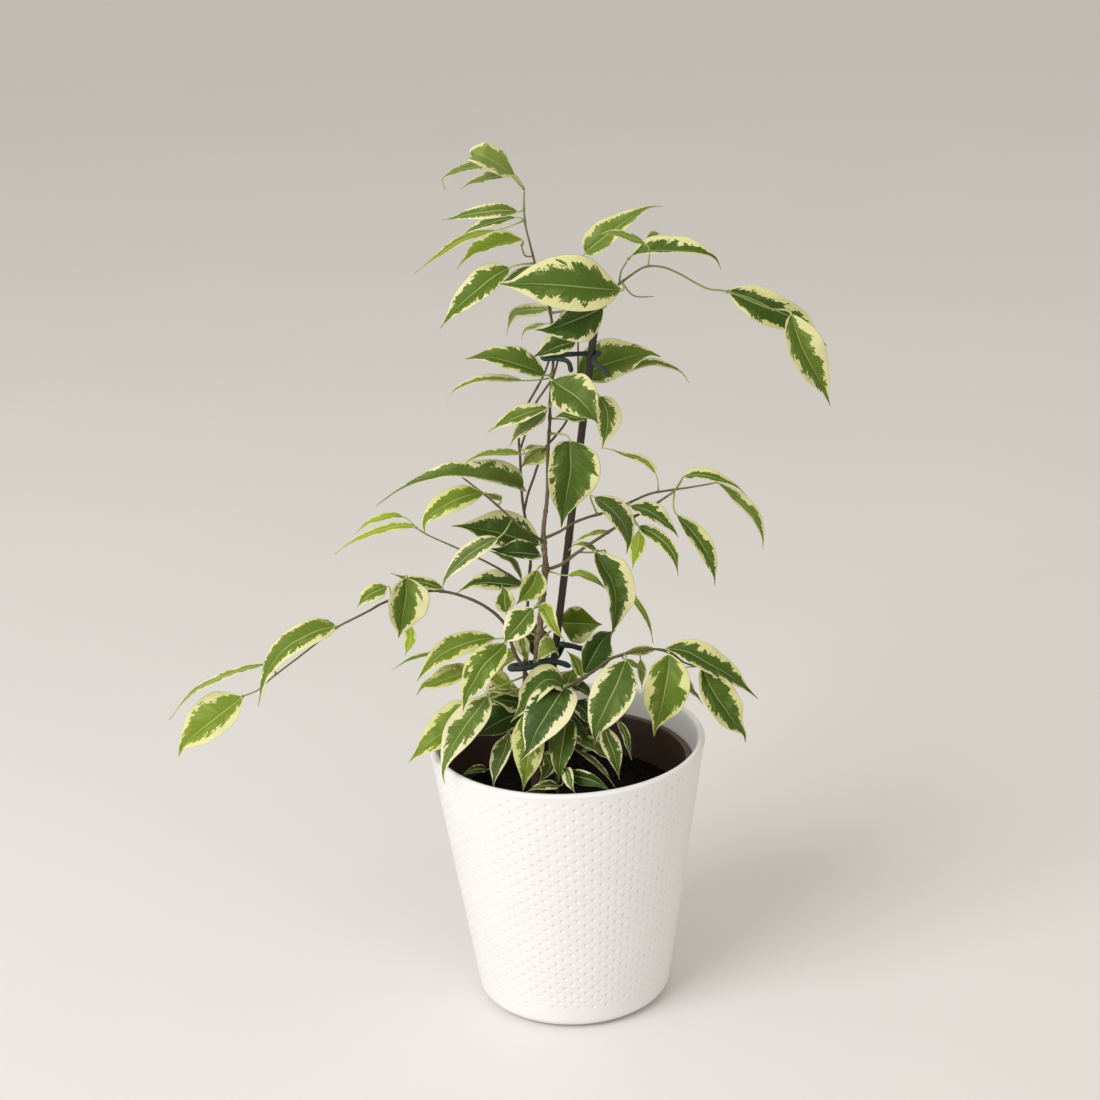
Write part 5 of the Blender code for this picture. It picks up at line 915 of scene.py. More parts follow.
    ("small_79b", "T6", 5, 0, 12, 1, ((41, 193, 4), (41.5, 186.5, 2), (41.5, 181.5, 0), (41.5, 175.5, 0)),
     (0.91, 0.91, 0.4, 0.5, 0.1, 0.5)),
    ("small_79c", "T6", 6.6, -60, 10, 1, ((33, 193, 14), (38, 189.5, 14), (44, 186.5, 12)),
     (0.91, 0.91, 0.4, 0.5, 0.1, 0.5)),
    ("leaf_60", "T1", 14.2, 22, 14, 0.85, ((-36, 208, 4), (-43.5, 208, 6), (-52, 206, 8), (-61, 202.5, 8),
     (-69, 197.5, 8), (-75, 191, 8), (-79.5, 185, 6)), (0.81, 0.75, 0.3, 0, 0.4, 0.8)),
    ("leaf_60b", "T1", 11.5, 72, 10, 1, ((-51, 201, -4), (-61, 200, -4), (-70, 200, -4), (-78, 199, -4),
     (-85, 196.5, -4), (-92.5, 192, -4)), (0.81, 0.81, 0.2, 0.2, 0.4, 0.5)),
    ("leaf_61", "T1", 15.1, 38, 22, 1, ((-48.5, 189.5, 4), (-54, 188.5, 4), (-59, 187, 4), (-65, 185, 4),
     (-71, 183, 4), (-76, 182, 4), (-80, 177, 4)), (0.72, 0.72, 0.4, 0.1, 0.3, 1)),
    ("leaf_62", "T1", 18, 18, 18, 1, ((-31, 205, 24), (-35, 200.5, 28), (-39.5, 196.5, 32), (-44.5, 191, 34),
     (-48.5, 184, 34), (-53, 176.5, 34), (-55.5, 166.5, 32)), (0.75, 0.88, 0.1, 0.1, 0.45, 0.9)),
    ("leaf_63", "T1", 14.8, 50, 12, 1, ((-29, 179, 6), (-34.5, 182.5, 6), (-41.5, 187, 7), (-47, 189, 7)),
     (0.63, 0.63, 0.8, 0.3, 0, 0.9)),
    ("leaf_64", "T1", 14.8, 50, 12, 1, ((-26.5, 195.5, -3), (-30.5, 194.5, -8), (-35.5, 191, -11),
     (-39, 188, -13)), (0.94, 0.94, 0.5, 0.1, 0.1, 0.6)),
    ("leaf_66", "T1", 22.5, 35, 10, 1, ((-48, 170, 22), (-56.5, 165, 25), (-61.5, 159.5, 28),
     (-66.5, 154.5, 30), (-72.5, 150.5, 32), (-80, 144, 32), (-86.5, 137.5, 30)),
     (0.78, 0.81, 0.3, 0.1, 0.3, 0.9)),
    ("leaf_67", "T1", 19.5, 25, 8, 1, ((-41.5, 175, 22), (-46, 169, 28), (-54.5, 158, 36), (-61, 148, 44),
     (-65.5, 139, 49), (-68, 130.5, 53), (-67.5, 124, 55)), (0.69, 0.69, 0, 0.5, 0.2, 0.15)),
    # Painted shade: leaf_68a and leaf_68b hang in shade, so they are given very dark green; leaf_68a also shows no
    # cream margin.
    ("leaf_68a", "M", 21.4, 25, 20, 1, ((-23, 164.5, 4), (-31, 162, 8), (-39, 158, 12), (-51.5, 150.5, 14)),
     (1.12, 1.12, 0, 0, 1, 0.3)),
    ("leaf_68b", "M", 18, 40, 10, 1, ((-24.5, 170, 6), (-33, 172, 8), (-40, 172.5, 10)),
     (0.75, 0.75, 0, 0.1, 0.9, 0.3)),
    ("leaf_68c", "T1", 9.8, 60, 10, 1, ((-24, 174, 8), (-31.5, 177, 8), (-38.5, 178, 8), (-45.5, 175.5, 8)),
     (0.44, 0.44, 0.1, 0.3, 0, 0.4)),
    ("small_80", "LS", 14.5, 42, 20, 1, ((-31, 152.5, 22), (-34, 142, 30), (-38, 132.5, 36), (-40.5, 124, 40),
     (-41, 120, 40)), (0.75, 0.75, 0, 0.4, 0.7, 0.1)),
    ("small_81", "LS", 5, 26, 12, 1, ((-44, 131.5, 26), (-49, 132, 32), (-55, 130, 36), (-59, 127, 38)),
     (1, 1, 0, 0, 1, 0.4)),
    ("small_69", "T6", 23.4, 52, 10, 1, ((-0.5, 179.5, 20), (-5, 182.5, 24), (-10, 183, 26), (-14.5, 179.5, 28),
     (-19, 174, 28), (-23, 167.5, 28), (-30, 159, 26)), (0.72, 0.78, 0, 0.1, 0.6, 0.5)),
    ("small_69b", "T6", 14.8, -20, 12, 1, ((1, 179, 12), (2.5, 183, 10), (4, 186.5, 8), (5, 189, 6)),
     (0.81, 0.81, 0.1, 0.2, 0.4, 0.4)),
    ("small_70", "T6", 25, 18, 8, 1, ((-0.5, 178.5, 26), (-4, 172.5, 36), (-10.5, 162.5, 42),
     (-16.5, 152.5, 46), (-21, 142.5, 48), (-26, 136, 48)), (1, 0.76, 0, 0.1, 1, 0.15)),
    ("leaf_71", "T6", 22.8, 0, 6, 1, ((33, 192.5, 30), (30.5, 185.5, 36), (27.5, 178, 40), (20.5, 163.5, 44),
     (16.5, 153.5, 44), (15, 143, 42)), (0.88, 0.83, 0, 0.2, 0.6, 0.15)),
    ("leaf_72", "T6", 25.9, -12, 20, 1, ((56.5, 195, 24), (56, 187.5, 28), (54.5, 178.5, 32), (52.5, 168, 32),
     (50, 158.5, 30), (48, 152.5, 30), (47.5, 147.5, 30)), (0.83, 0.83, 0.15, 0.1, 0.5, 0.8)),
    ("small_73", "T6", 18.3, -35, 25, 1, ((55.5, 199, 18), (66.5, 196, 20), (78, 188.5, 20), (87.5, 182.5, 18),
     (96, 175, 16), (104, 167.5, 14)), (0.94, 0.69, 0, 0.1, 0.6, 0.7)),
    ("small_74", "T6", 21.4, -24, 22, 0.9, ((74, 187, 20), (77, 178.5, 24), (81.5, 169.5, 26),
     (86.5, 161.5, 26), (91, 154, 25), (96, 147.5, 24), (97, 142, 24)), (0.78, 0.78, 0, 0.1, 0.6, 0.8)),
    ("small_74b", "T6", 6, -55, 10, 1, ((64, 184, 4), (68, 174, 4), (71, 170.5, 4), (74, 165.5, 4)),
     (0.81, 0.75, 0.2, 0.1, 0.5, 0.6)),
    ("small_78a", "T6", 11.5, -50, 12, 1, ((4, 179.5, 12), (8, 177.5, 14), (11.5, 175, 14), (14.5, 171.5, 14)),
     (0.97, 0.97, 0, 0, 1, 0.4)),
    ("small_78b", "LS", 14.5, -40, 12, 1, ((4.5, 169.5, 16), (8.5, 166, 20), (12, 161, 22), (14.5, 154.5, 22)),
     (0.97, 0.97, 0, 0, 1, 0.4)),
    ("small_78c", "LS", 19.3, -30, 10, 1, ((1, 165, 8), (6, 159.5, 14), (10.5, 152, 18), (16, 142.5, 20)),
     (0.97, 0.97, 0, 0, 1, 0.4)),
    ("small_82", "LS", 15.5, 12, 18, 1, ((0, 160.5, 24), (-1, 152, 32), (-3, 141, 38), (-4.5, 132.5, 42),
     (-5, 122, 42)), (1.06, 1.06, 0.1, 0, 1, 0.8)),
    ("small_83", "LS", 17.6, 4, 10, 1, ((-23.5, 162, 28), (-21.5, 152.5, 34), (-21, 143, 40), (-22, 133.5, 44),
     (-25, 117.5, 44)), (0.69, 0.69, 0.4, 0.1, 0.6, 0.9)),
    ("small_86", "LS", 11, -20, 12, 1, ((20.5, 154, 26), (22.5, 146.5, 32), (25.5, 137, 36), (28, 122.5, 38)),
     (0.81, 0.81, 0, 0.2, 0.6, 0.1)),
    ("small_87", "LS", 12.8, -55, 12, 1, ((5, 147.5, 20), (12, 144.5, 26), (20, 138, 30), (28, 131, 34)),
     (0.88, 0.88, 0.2, 0, 0.8, 0.5)),
    ("small_88", "LS", 6.6, -60, 12, 1, ((5, 141, 16), (12, 135.5, 22), (19.5, 127.5, 28), (25.5, 118, 34)),
     (0.88, 0.88, 0.1, 0, 0.9, 0.4)),
    ("small_89", "LS", 11.5, 35, 12, 1, ((-12, 139, 22), (-9.5, 133.5, 28), (-12, 127.5, 34),
     (-16.5, 122.5, 38)), (0.88, 0.88, 0.1, 0, 0.9, 0.4)),
    ("small_90", "LS", 6.3, -45, 12, 1, ((27.5, 158, 24), (31, 151, 28), (33, 143, 30), (35, 134, 32)),
     (0.88, 0.88, 0.1, 0, 0.9, 0.4)),
    # Painted shade: small_84, small_85 and small_96 hang below the rim in the pot's shade, so their green is painted
    # darker for that shade; small_96 gets the darkest green and no cream margin.
    ("small_84", "LS", 6.1, 29, 12, 1, ((-5.5, 120, 44), (-11, 120.5, 50), (-17.5, 119.5, 54),
     (-23.5, 117, 56)), (0.81, 0.81, 0, 0.1, 1, 0.3)),
    ("small_85", "LS", 7.9, 32, 16, 1, ((-1, 130, 40), (0.5, 125.5, 46), (1.5, 120, 50), (3.5, 115, 52)),
     (0.6, 0.6, 0.1, 0.4, 0.6, 0.3)),
    ("small_96", "LS", 8.4, 13, 12, 1, ((0.5, 126.5, 36), (6.5, 125, 42), (14.5, 122, 46), (23.5, 115.5, 50)),
     (1.12, 1.12, 0, 0, 1, 0.3)),
    ("small_91", "SB", 26, 0, 10, 1, ((0, 308, -10), (4, 306, -22), (8, 300, -34), (10, 290, -44)),
     (0.84, 0.84, 0.1, 0.1, 0.6, 0.5)),
    ("small_92", "S", 24, 0, 10, 1, ((8, 384, -13), (11, 384, -24), (13, 381, -34), (13, 375, -43)),
     (0.84, 0.84, 0.1, 0.1, 0.6, 0.5)),
    ("small_93", "M", 19, 0, 10, 1, ((-4, 397, -4), (-2, 399, -16), (1, 397, -28), (4, 391, -38)),
     (0.84, 0.84, 0.1, 0.1, 0.6, 0.5)),
    ("small_94", "S", 26, 15, 10, 1, ((-24, 176, -12), (-32, 173, -24), (-40, 168, -36), (-46, 160, -46)),
     (0.84, 0.84, 0.1, 0.1, 0.6, 0.5)),
    ("small_95", "LS", 22, 0, 10, 1, ((6, 150, 12), (11, 150, 0), (15, 146, -12), (19, 138, -24)),
     (0.84, 0.84, 0.1, 0.1, 0.6, 0.5)),
]
print("leaves", len(LEAVES))

# %% [markdown]
# ## The shape of a fig leaf
# A weeping fig's blade is egg-shaped, widest before the middle, and ends in a long drip tip. Its halves
# rise from a grooved midrib and their margins wave. A flat card wouldn't catch light like that, so each
# blade is a thin closed shell: forty-odd rows along, twenty strips across, and a ridge below.

# %% Width along the blade
BLADE_STOPS = (0.0, 0.03, 0.09, 0.21, 0.36, 0.52, 0.67, 0.79, 0.88, 0.94, 1.0)
BLADE_WIDTHS = (0.05, 0.27, 0.55, 0.89, 1.0, 0.89, 0.61, 0.31, 0.13, 0.06, 0.02)


def smooth_value(stops, values, s):
    """The value at s along uneven stops, without corners and without overshoot."""
    k = max(i for i in range(len(stops) - 1) if stops[i] <= s)
    rises = [(values[i + 1] - values[i]) / (stops[i + 1] - stops[i]) for i in range(len(stops) - 1)]

    def slope(i):
        before, after = rises[max(i - 1, 0)], rises[min(i, len(rises) - 1)]
        return 0.0 if before * after <= 0 else 2 * before * after / (before + after)

    gap = stops[k + 1] - stops[k]
    t = (s - stops[k]) / gap
    return ((2 * t ** 3 - 3 * t ** 2 + 1) * values[k] + (t ** 3 - 2 * t ** 2 + t) * gap * slope(k)
            + (3 * t ** 2 - 2 * t ** 3) * values[k + 1] + (t ** 3 - t ** 2) * gap * slope(k + 1))


ROWS_ALONG = [0.0, 0.01, 0.02, 0.035, 0.05] + [0.075 + 0.025 * i for i in range(34)]
ROWS_ALONG += [0.92, 0.935, 0.95, 0.965, 0.98, 0.99, 1.0]
HALF_ACROSS = (0.055, 0.14, 0.25, 0.38, 0.52, 0.66, 0.79, 0.9, 0.965, 1.0)
ACROSS = [-t for t in HALF_ACROSS[::-1]] + [0.0] + list(HALF_ACROSS)
print("rows", len(ROWS_ALONG), "strips", len(ACROSS) - 1)


# %% One blade
def blade(spine, width, turn, fold, lean, chance):
    """Points, faces and places of a blade whose midrib is the spine."""
    half = width / 2
    waves, twist = chance.uniform(1.6, 3.2), math.radians(chance.uniform(-9, 9))
    starts = {1: chance.uniform(0, 6.28), -1: chance.uniform(0, 6.28)}
    points, rings, place = [], [], []
    for s in ROWS_ALONG:
        share = smooth_value(BLADE_STOPS, BLADE_WIDTHS, s ** (1 / lean))
        k = min(int(s * (len(spine) - 1)), len(spine) - 2)
        p = spine[k].lerp(spine[k + 1], s * (len(spine) - 1) - k)
        run = (spine[min(k + 2, len(spine) - 1)] - spine[max(k - 1, 0)]).normalized()
        view = (EYE - p).normalized()
        face_on = (view - run * view.dot(run)).normalized()
        up = Matrix.Rotation(math.radians(turn) + twist * (s - 0.4), 3, run) @ face_on
        side = run.cross(up)
        reach = max(half * share, 0.22)
        ring = []
        for under in (0, 1):
            for t in ACROSS if not under else ACROSS[-2:0:-1]:
                a = abs(t)
                sway = 0.055 * half * math.sin(math.pi * min(s * 1.15, 1.0)) * a ** 1.7
                sway *= math.sin(6.28 * waves * s + starts[1 if t > 0 else -1])
                lift = reach * math.sin(math.radians(fold)) * (1.4 * a - 0.4 * a * a) + sway
                thick = 0.15 * (1 - a ** 6)
                rib = math.exp(-(a * reach / 0.42) ** 2) * (1 - 0.7 * s)
                lift += -0.17 * rib + thick if not under else -0.36 * rib - thick
                ring.append(len(points))
                points.append(p + side * (t * reach * math.cos(math.radians(fold))) + up * lift)
                place.append((s, t, 0.5 if a == 1 else float(under)))
        rings.append(ring)
    faces = []
    for one, two in zip(rings, rings[1:]):
        faces += join_rings(one, two)
    for ring in (rings[0], rings[-1]):
        top, low = ring[: len(ACROSS)], [ring[0]] + ring[len(ACROSS) - 1 :][::-1]
        for i in range(len(top) - 1):
            face = [top[i], top[i + 1], low[i + 1], low[i]]
            face = [v for n, v in enumerate(face) if v not in face[:n]]
            if len(face) > 2:
                faces.append(face)
    return points, faces, place


# %% A leaf with its stalk and its marks
def leaf(index, row):
    """The parts of one leaf: the blade and the stalk that seats it in the bark."""
    name, bearer, width, turn, fold, lean, midrib, looks = row
    green_on_right, green_on_left, lime, pale, dark, yellow = looks
    chance = random.Random(index)
    spine = spline([sight(*p) for p in midrib], 121)
    _, _, centre, _, wood_r = nearest(BEARERS[bearer][1], spine[0])
    out = (spine[4] - spine[0]).normalized()
    leave = (spine[0] - out * 2.0 - centre).normalized()
    lead = (spine[0] - centre).length
    bends = (centre + leave * lead * 0.35, spine[0] - out * lead * 0.35, spine[0])
    stalk = []
    steps = max(6, round(lead / 1.1))
    for i in range(steps + 1):
        t = i / steps
        stalk.append(centre * (1 - t) ** 3 + bends[0] * 3 * t * (1 - t) ** 2
                     + bends[1] * 3 * t * t * (1 - t) + bends[2] * t ** 3)
    view = (EYE - spine[0]).normalized()
    stalk.append(spine[3] - view * 0.25)
    stroke = min(1.0, 0.55 + width / 50)
    radii = [stroke * (0.56 + 0.3 * math.exp(-max(i * lead / steps - wood_r, 0) / 0.9)) for i in range(steps + 1)]
    parts = []
    stalk_points, stalk_faces, stalk_place = tube(stalk, radii + [0.25], 8, 0.08, index)
    blade_points, blade_faces, blade_place = blade(spine, width, turn, fold, lean, chance)
    seed = chance.uniform(0, 100)
    length = path_length(spine)
    for points, faces, place in (
            (stalk_points, stalk_faces, [(-1 + min(p[2] / lead, 0.99), 0.0, 0.0) for p in stalk_place]),
            (blade_points, blade_faces, blade_place)):
        count = len(points)
        parts.append((points, faces, fig_leaf, {
            "place": place,
            "green": [(green_on_right, green_on_left, seed)] * count,
            "tone": [(lime, pale, dark)] * count,
            "size": [(yellow, length, width / 2)] * count,
        }))
    return parts


# %% [markdown]
# ## The markings of a variegated leaf
# The green isn't painted on at random. It starts at the midrib and runs out along the side veins, so its
# edge is a row of teeth that point to the tip. The group below turns a place on the blade into masks:
# it slides the place back along the veins, then lets each narrow band between two veins end its green
# at its own distance from the midrib. A second, shorter reach makes the deep green core.

# %% Group: green masks from the place on a blade
mask_group, mask_in, mask_out = new_group(
    "vein-wise markings",
    (("Along", 0.5), ("Across", 0.0), ("Length mm", 60.0), ("Half mm", 12.0),
     ("Reach right", 0.8), ("Reach left", 0.8), ("Seed", 0.0)),
    ("Green", "Core", "Vein", "Midrib", "Edge", "Patches"))
group = mask_group
off_mid = calc(group, "ABSOLUTE", mask_in["Across"])
right_half = calc(group, "GREATER_THAN", mask_in["Across"], 0.0)
sideways_mm = calc(group, "MULTIPLY", off_mid, mask_in["Half mm"])
slide = calc(group, "SUBTRACT", calc(group, "MULTIPLY", mask_in["Along"], mask_in["Length mm"]),
             calc(group, "MULTIPLY", sideways_mm, 0.55))
side_seed = calc(group, "ADD", mask_in["Seed"], calc(group, "MULTIPLY", right_half, 37.0))
run = calc(group, "ADD", slide, calc(group, "MULTIPLY", side_seed, 9.0))


def patch_value(across_mm, along_mm, shift):
    """One random value for each small patch of tissue, which is longer along the veins."""
    patch = add_node(group, "TexVoronoi", voronoi_dimensions="2D")
    plug(group, add_node(group, "CombineXYZ", calc(group, "DIVIDE", run, along_mm), calc(
        group, "MULTIPLY_ADD", sideways_mm, 1 / across_mm, shift)).outputs[0], patch.inputs["Vector"])
    patch.inputs["Scale"].default_value = 1.0
    return calc(group, "SUBTRACT", add_node(group, "SeparateColor", patch.outputs["Color"]).outputs[0], 0.5)


reach = add_node(group, "Mix", right_half, data_type="FLOAT")
plug(group, mask_in["Reach left"], reach.inputs[2])
plug(group, mask_in["Reach right"], reach.inputs[3])
lobes, teeth = patch_value(6.5, 4.2, 0.0), patch_value(2.2, 1.25, 30.0)
ragged = calc(group, "SUBTRACT", noise_at(group, run, 0.9, 2.0, "1D"), 0.5)
shore = calc(group, "MULTIPLY_ADD", lobes, 0.36, calc(group, "MULTIPLY", reach.outputs[0], 0.87))
shore = calc(group, "MULTIPLY_ADD", teeth, 0.20, shore)
shore = calc(group, "MULTIPLY_ADD", ragged, 0.20, shore)
plug(group, step_between(group, calc(group, "SUBTRACT", shore, off_mid), -0.012, 0.018), mask_out["Green"])
core_shore = calc(group, "MULTIPLY_ADD", patch_value(7.0, 5.0, 60.0), 0.9, calc(group, "MULTIPLY", shore, 0.95))
plug(group, step_between(group, calc(group, "SUBTRACT", core_shore, off_mid), -0.10, 0.12), mask_out["Core"])
vein_phase = calc(group, "FRACT", calc(group, "DIVIDE", calc(group, "ADD", slide, calc(
    group, "MULTIPLY", noise_at(group, slide, 0.2, 1.0, "1D"), 2.0)), 3.1))
vein_line = calc(group, "ABSOLUTE", calc(group, "SUBTRACT", vein_phase, 0.5))
plug(group, step_between(group, vein_line, 0.0, 0.13, 1.0, 0.0), mask_out["Vein"])
rib_half = calc(group, "MULTIPLY_ADD", mask_in["Along"], -0.3, 0.5)
plug(group, step_between(group, calc(group, "DIVIDE", sideways_mm, rib_half), 0.5, 1.1, 1.0, 0.0),
     mask_out["Midrib"])
plug(group, step_between(group, off_mid, 0.935, 0.985), mask_out["Edge"])
blotches = add_node(group, "TexNoise")
plug(group, add_node(group, "CombineXYZ", run, calc(group, "MULTIPLY", sideways_mm, 0.5)).outputs[0],
     blotches.inputs["Vector"])
blotches.inputs["Scale"].default_value = 0.45
plug(group, blotches.outputs[0], mask_out["Patches"])
print("group", mask_group.name, "made")

# %% [markdown]
# ## Finish: the leaf
# One material colours every leaf from its marks. Green tissue goes from a lime of young leaves to a deep
# bottle green, with grey-green patches where the white layer lies over it; the margin goes from cream
# to butter yellow. The deep end is partly the leaf's own colour and partly painted shade on leaves that
# hang in shade. Below, everything is paler and duller. The top has a satin gloss.

# %% Read the marks, then mix the leaf's colours
fig_leaf, tree, shader = new_finish("fig_leaf", IOR=1.45, Specular_IOR_Level=0.28)


def mark(name):
    layer = add_node(tree, "Attribute", attribute_name=name, attribute_type="GEOMETRY")
    return add_node(tree, "SeparateXYZ", layer.outputs["Vector"]).outputs


along, across, under = mark("place")
reach_right, reach_left, seed = mark("green")
lime, pale, dark = mark("tone")
yellow, length_mm, half_mm = mark("size")
masks = place_group(tree, mask_group, Along=along, Across=across, Length_mm=length_mm, Half_mm=half_mm,
                    Reach_right=reach_right, Reach_left=reach_left, Seed=seed)
grain = place_group(tree, grain_group, Size_mm=0.7, Unevenness=2.0)

# Painted shade in part: the dark mark pulls the green towards deep bottle green, which is partly the leaf's own
# colour and partly shade on leaves that hang in shade.
deep = mixed(tree, dark, rgb(0.094, 0.165, 0.008), rgb(0.026, 0.062, 0.003))
deep = mixed(tree, lime, deep, rgb(0.28, 0.38, 0.016))
washed = mixed(tree, dark, rgb(0.165, 0.245, 0.032), rgb(0.068, 0.125, 0.015))
washed = mixed(tree, lime, washed, rgb(0.40, 0.48, 0.045))
washed = mixed(tree, calc(tree, "MULTIPLY", pale, 0.8), washed, rgb(0.30, 0.35, 0.15))
core = calc(tree, "MULTIPLY", masks["Core"], calc(tree, "MULTIPLY_ADD", pale, -0.6, 1.0))
core_share = calc(tree, "MULTIPLY_ADD", core, 0.62, 0.34)
green_tissue = mixed(tree, core_share, washed, deep)
green_tissue = mixed(tree, step_between(tree, masks["Patches"], 0.45, 0.7, 0.0, 0.22), green_tissue, washed)
margin = mixed(tree, yellow, rgb(0.76, 0.71, 0.47), rgb(0.62, 0.62, 0.22))
margin = mixed(tree, step_between(tree, masks["Patches"], 0.35, 0.7, 0.0, 0.3), margin, rgb(0.56, 0.58, 0.24))
blade_colour = mixed(tree, masks["Green"], margin, green_tissue)
blade_colour = mixed(tree, calc(tree, "MULTIPLY", masks["Vein"], 0.035), blade_colour, rgb(0.45, 0.52, 0.2))
blade_colour = mixed(tree, calc(tree, "MULTIPLY", masks["Edge"], 0.7), blade_colour, rgb(0.72, 0.71, 0.38))
blade_colour = mixed(tree, calc(tree, "MULTIPLY", masks["Midrib"], 0.5), blade_colour, rgb(0.52, 0.58, 0.24))
blade_colour = mixed(tree, calc(tree, "MULTIPLY", under, 0.5), blade_colour, rgb(0.36, 0.42, 0.24))
is_stalk = calc(tree, "LESS_THAN", along, -0.001)
stalk_colour = mixed(tree, step_between(tree, along, -0.95, -0.4), rgb(0.24, 0.24, 0.08), rgb(0.42, 0.49, 0.17))
plug(tree, mixed(tree, is_stalk, blade_colour, stalk_colour), shader.inputs["Base Color"])
gloss = step_between(tree, grain["Patches"], 0.3, 0.7, 0.44, 0.56)
plug(tree, calc(tree, "MULTIPLY_ADD", under, 0.22, gloss), shader.inputs["Roughness"])
quilt = calc(tree, "MULTIPLY", masks["Vein"], -1.0)
plug(tree, calc(tree, "MULTIPLY_ADD", grain["Height"], 0.35, quilt), (relief := add_node(tree, "Bump")).inputs["Height"])
relief.inputs["Distance"].default_value = 0.00005
plug(tree, relief.outputs[0], shader.inputs["Normal"])
print("leaf finish", len(tree.nodes), "nodes")

# %% [markdown]
# ## Finish: bark
# Old wood at the foot of the stem is a greyish brown with small pale pores, and it turns dark and then
# green towards the growing tips. The tube's marks give the place round and along the twig, and its
# thickness tells its age, so one material covers all the wood.

# %% Bark that ages with thickness
bark, tree, shader = new_finish("bark")
round_x, round_y, along = mark("place")
age = mark("tone")[0]
skin_place = add_node(tree, "CombineXYZ", calc(tree, "MULTIPLY", round_x, 2.0), calc(
    tree, "MULTIPLY", round_y, 2.0), calc(tree, "MULTIPLY", along, 0.3)).outputs[0]
streaks = noise_at(tree, skin_place, 1.6, 4.0)
old_bark = mixed(tree, step_between(tree, streaks, 0.35, 0.65), rgb(0.085, 0.052, 0.030), rgb(0.26, 0.185, 0.12))
young_bark = mixed(tree, streaks, rgb(0.055, 0.04, 0.018), rgb(0.16, 0.125, 0.055))
tip_bark = mixed(tree, streaks, rgb(0.15, 0.19, 0.045), rgb(0.27, 0.31, 0.09))
wood = mixed(tree, step_between(tree, age, 0.35, 0.8), young_bark, old_bark)
wood = mixed(tree, step_between(tree, age, 0.02, 0.2, 1.0, 0.0), wood, tip_bark)
pores = add_node(tree, "TexVoronoi")
plug(tree, add_node(tree, "CombineXYZ", calc(tree, "MULTIPLY", round_x, 1.4), calc(
    tree, "MULTIPLY", round_y, 1.4), calc(tree, "MULTIPLY", along, 0.8)).outputs[0], pores.inputs["Vector"])
pores.inputs["Scale"].default_value = 1.0
pore = step_between(tree, pores.outputs["Distance"], 0.14, 0.24, 1.0, 0.0)
plug(tree, mixed(tree, calc(tree, "MULTIPLY", pore, 0.6), wood, rgb(0.36, 0.29, 0.2)), shader.inputs["Base Color"])
plug(tree, step_between(tree, streaks, 0.3, 0.7, 0.62, 0.85), shader.inputs["Roughness"])
emboss(tree, shader, calc(tree, "ADD", streaks, calc(tree, "MULTIPLY", pore, 0.5)), 0.25)
print("bark finish", len(tree.nodes), "nodes")


# %% A twig with swellings where leaves and branches leave it
def twig(name, buds):
    """buds: lengths along the path where something grows from it."""
    line, radii = WOOD[name]
    length = path_length(line)
    count = max(12, round(length / 1.6))
    fine = spline(line, count)
    thick, ages = [], []
    for i in range(count):
        at = length * i / (count - 1)
        base = blend(radii, i / (count - 1))
        swell = max([math.exp(-((at - bud) / 1.1) ** 2) for bud in buds] + [0.0])
        scar = math.exp(-(((at + 3.0) % 17.0 - 8.5) / 0.7) ** 2)
        thin = min(1.0, 0.2 + (length - at) / 2.5)
        thick.append(base * (1 + 0.38 * swell + 0.14 * scar) * thin)
        ages.append(min(max((base - 0.42) / 1.0, 0.0), 1.0) * min(1.0, (length - at) / 14.0))
    points, faces, place = tube(fine, thick, 12, 0.16, len(name))
    age_marks = [(ages[i // 12], 0.0, 0.0) for i in range(count * 12)] + [(ages[0], 0, 0), (ages[-1], 0, 0)]
    return points, faces, bark, {"place": place, "tone": age_marks}


# %% Grow the plant: each woody piece with its small leaves, each large leaf by itself
buds = {name: [] for name in WOOD}
for row in LEAVES:
    name, at, _, _, _ = nearest(BEARERS[row[1]][1], sight(*row[6][0]))
    buds[name].append(at)
for name, parent in SPRUNG_FROM.items():
    buds[parent].append(nearest([parent], WOOD[name][0][0])[1])
for node, names in PIECE_PATHS.items():
    parts = [twig(name, buds[name]) for name in names]
    for index, row in enumerate(LEAVES):
        if row[0].startswith("small") and BEARERS[row[1]][0] == node:
            parts += leaf(index, row)
    piece = make_piece(node + "_with_leaves", node, parts)
    print(piece.name, len(piece.data.polygons), "faces")
for index, row in enumerate(LEAVES):
    if row[0].startswith("leaf"):
        make_piece(row[0] + "_veined", row[0], leaf(index, row))

# %% [markdown]
# ## The cane
# A thin dark cane stands in the soil beside the stems and leans to the right. It is a split-bamboo stick
# with a few low joints, stained dark and slightly rough, and its sawn top is flat.

# %% The cane with its joints
CANE_R, CANE_FOOT_Z, CANE_TOP_Z = 2.1, 60.0, 382.0
cane_low, cane_high = sight(-3.0, 210, -4), sight(21.0, 373, -4)
lean = (cane_high - cane_low) / (cane_high.z - cane_low.z)


def cane_at(z):
    return cane_low + lean * (z - cane_low.z)


cane_line, cane_radii = [], []
for i in range(240):
    z = CANE_FOOT_Z + (CANE_TOP_Z - CANE_FOOT_Z) * i / 239
    joint = min(abs(z - at) for at in (96.0, 171.0, 262.0, 338.0))
    cane_line.append(cane_at(z))
    cane_radii.append(CANE_R * (0.96 + 0.09 * math.exp(-(joint / 1.3) ** 2)) * (0.93 if i in (0, 239) else 1.0))
cane_points, cane_faces, cane_place = tube(cane_line, cane_radii, 20, 0.05)

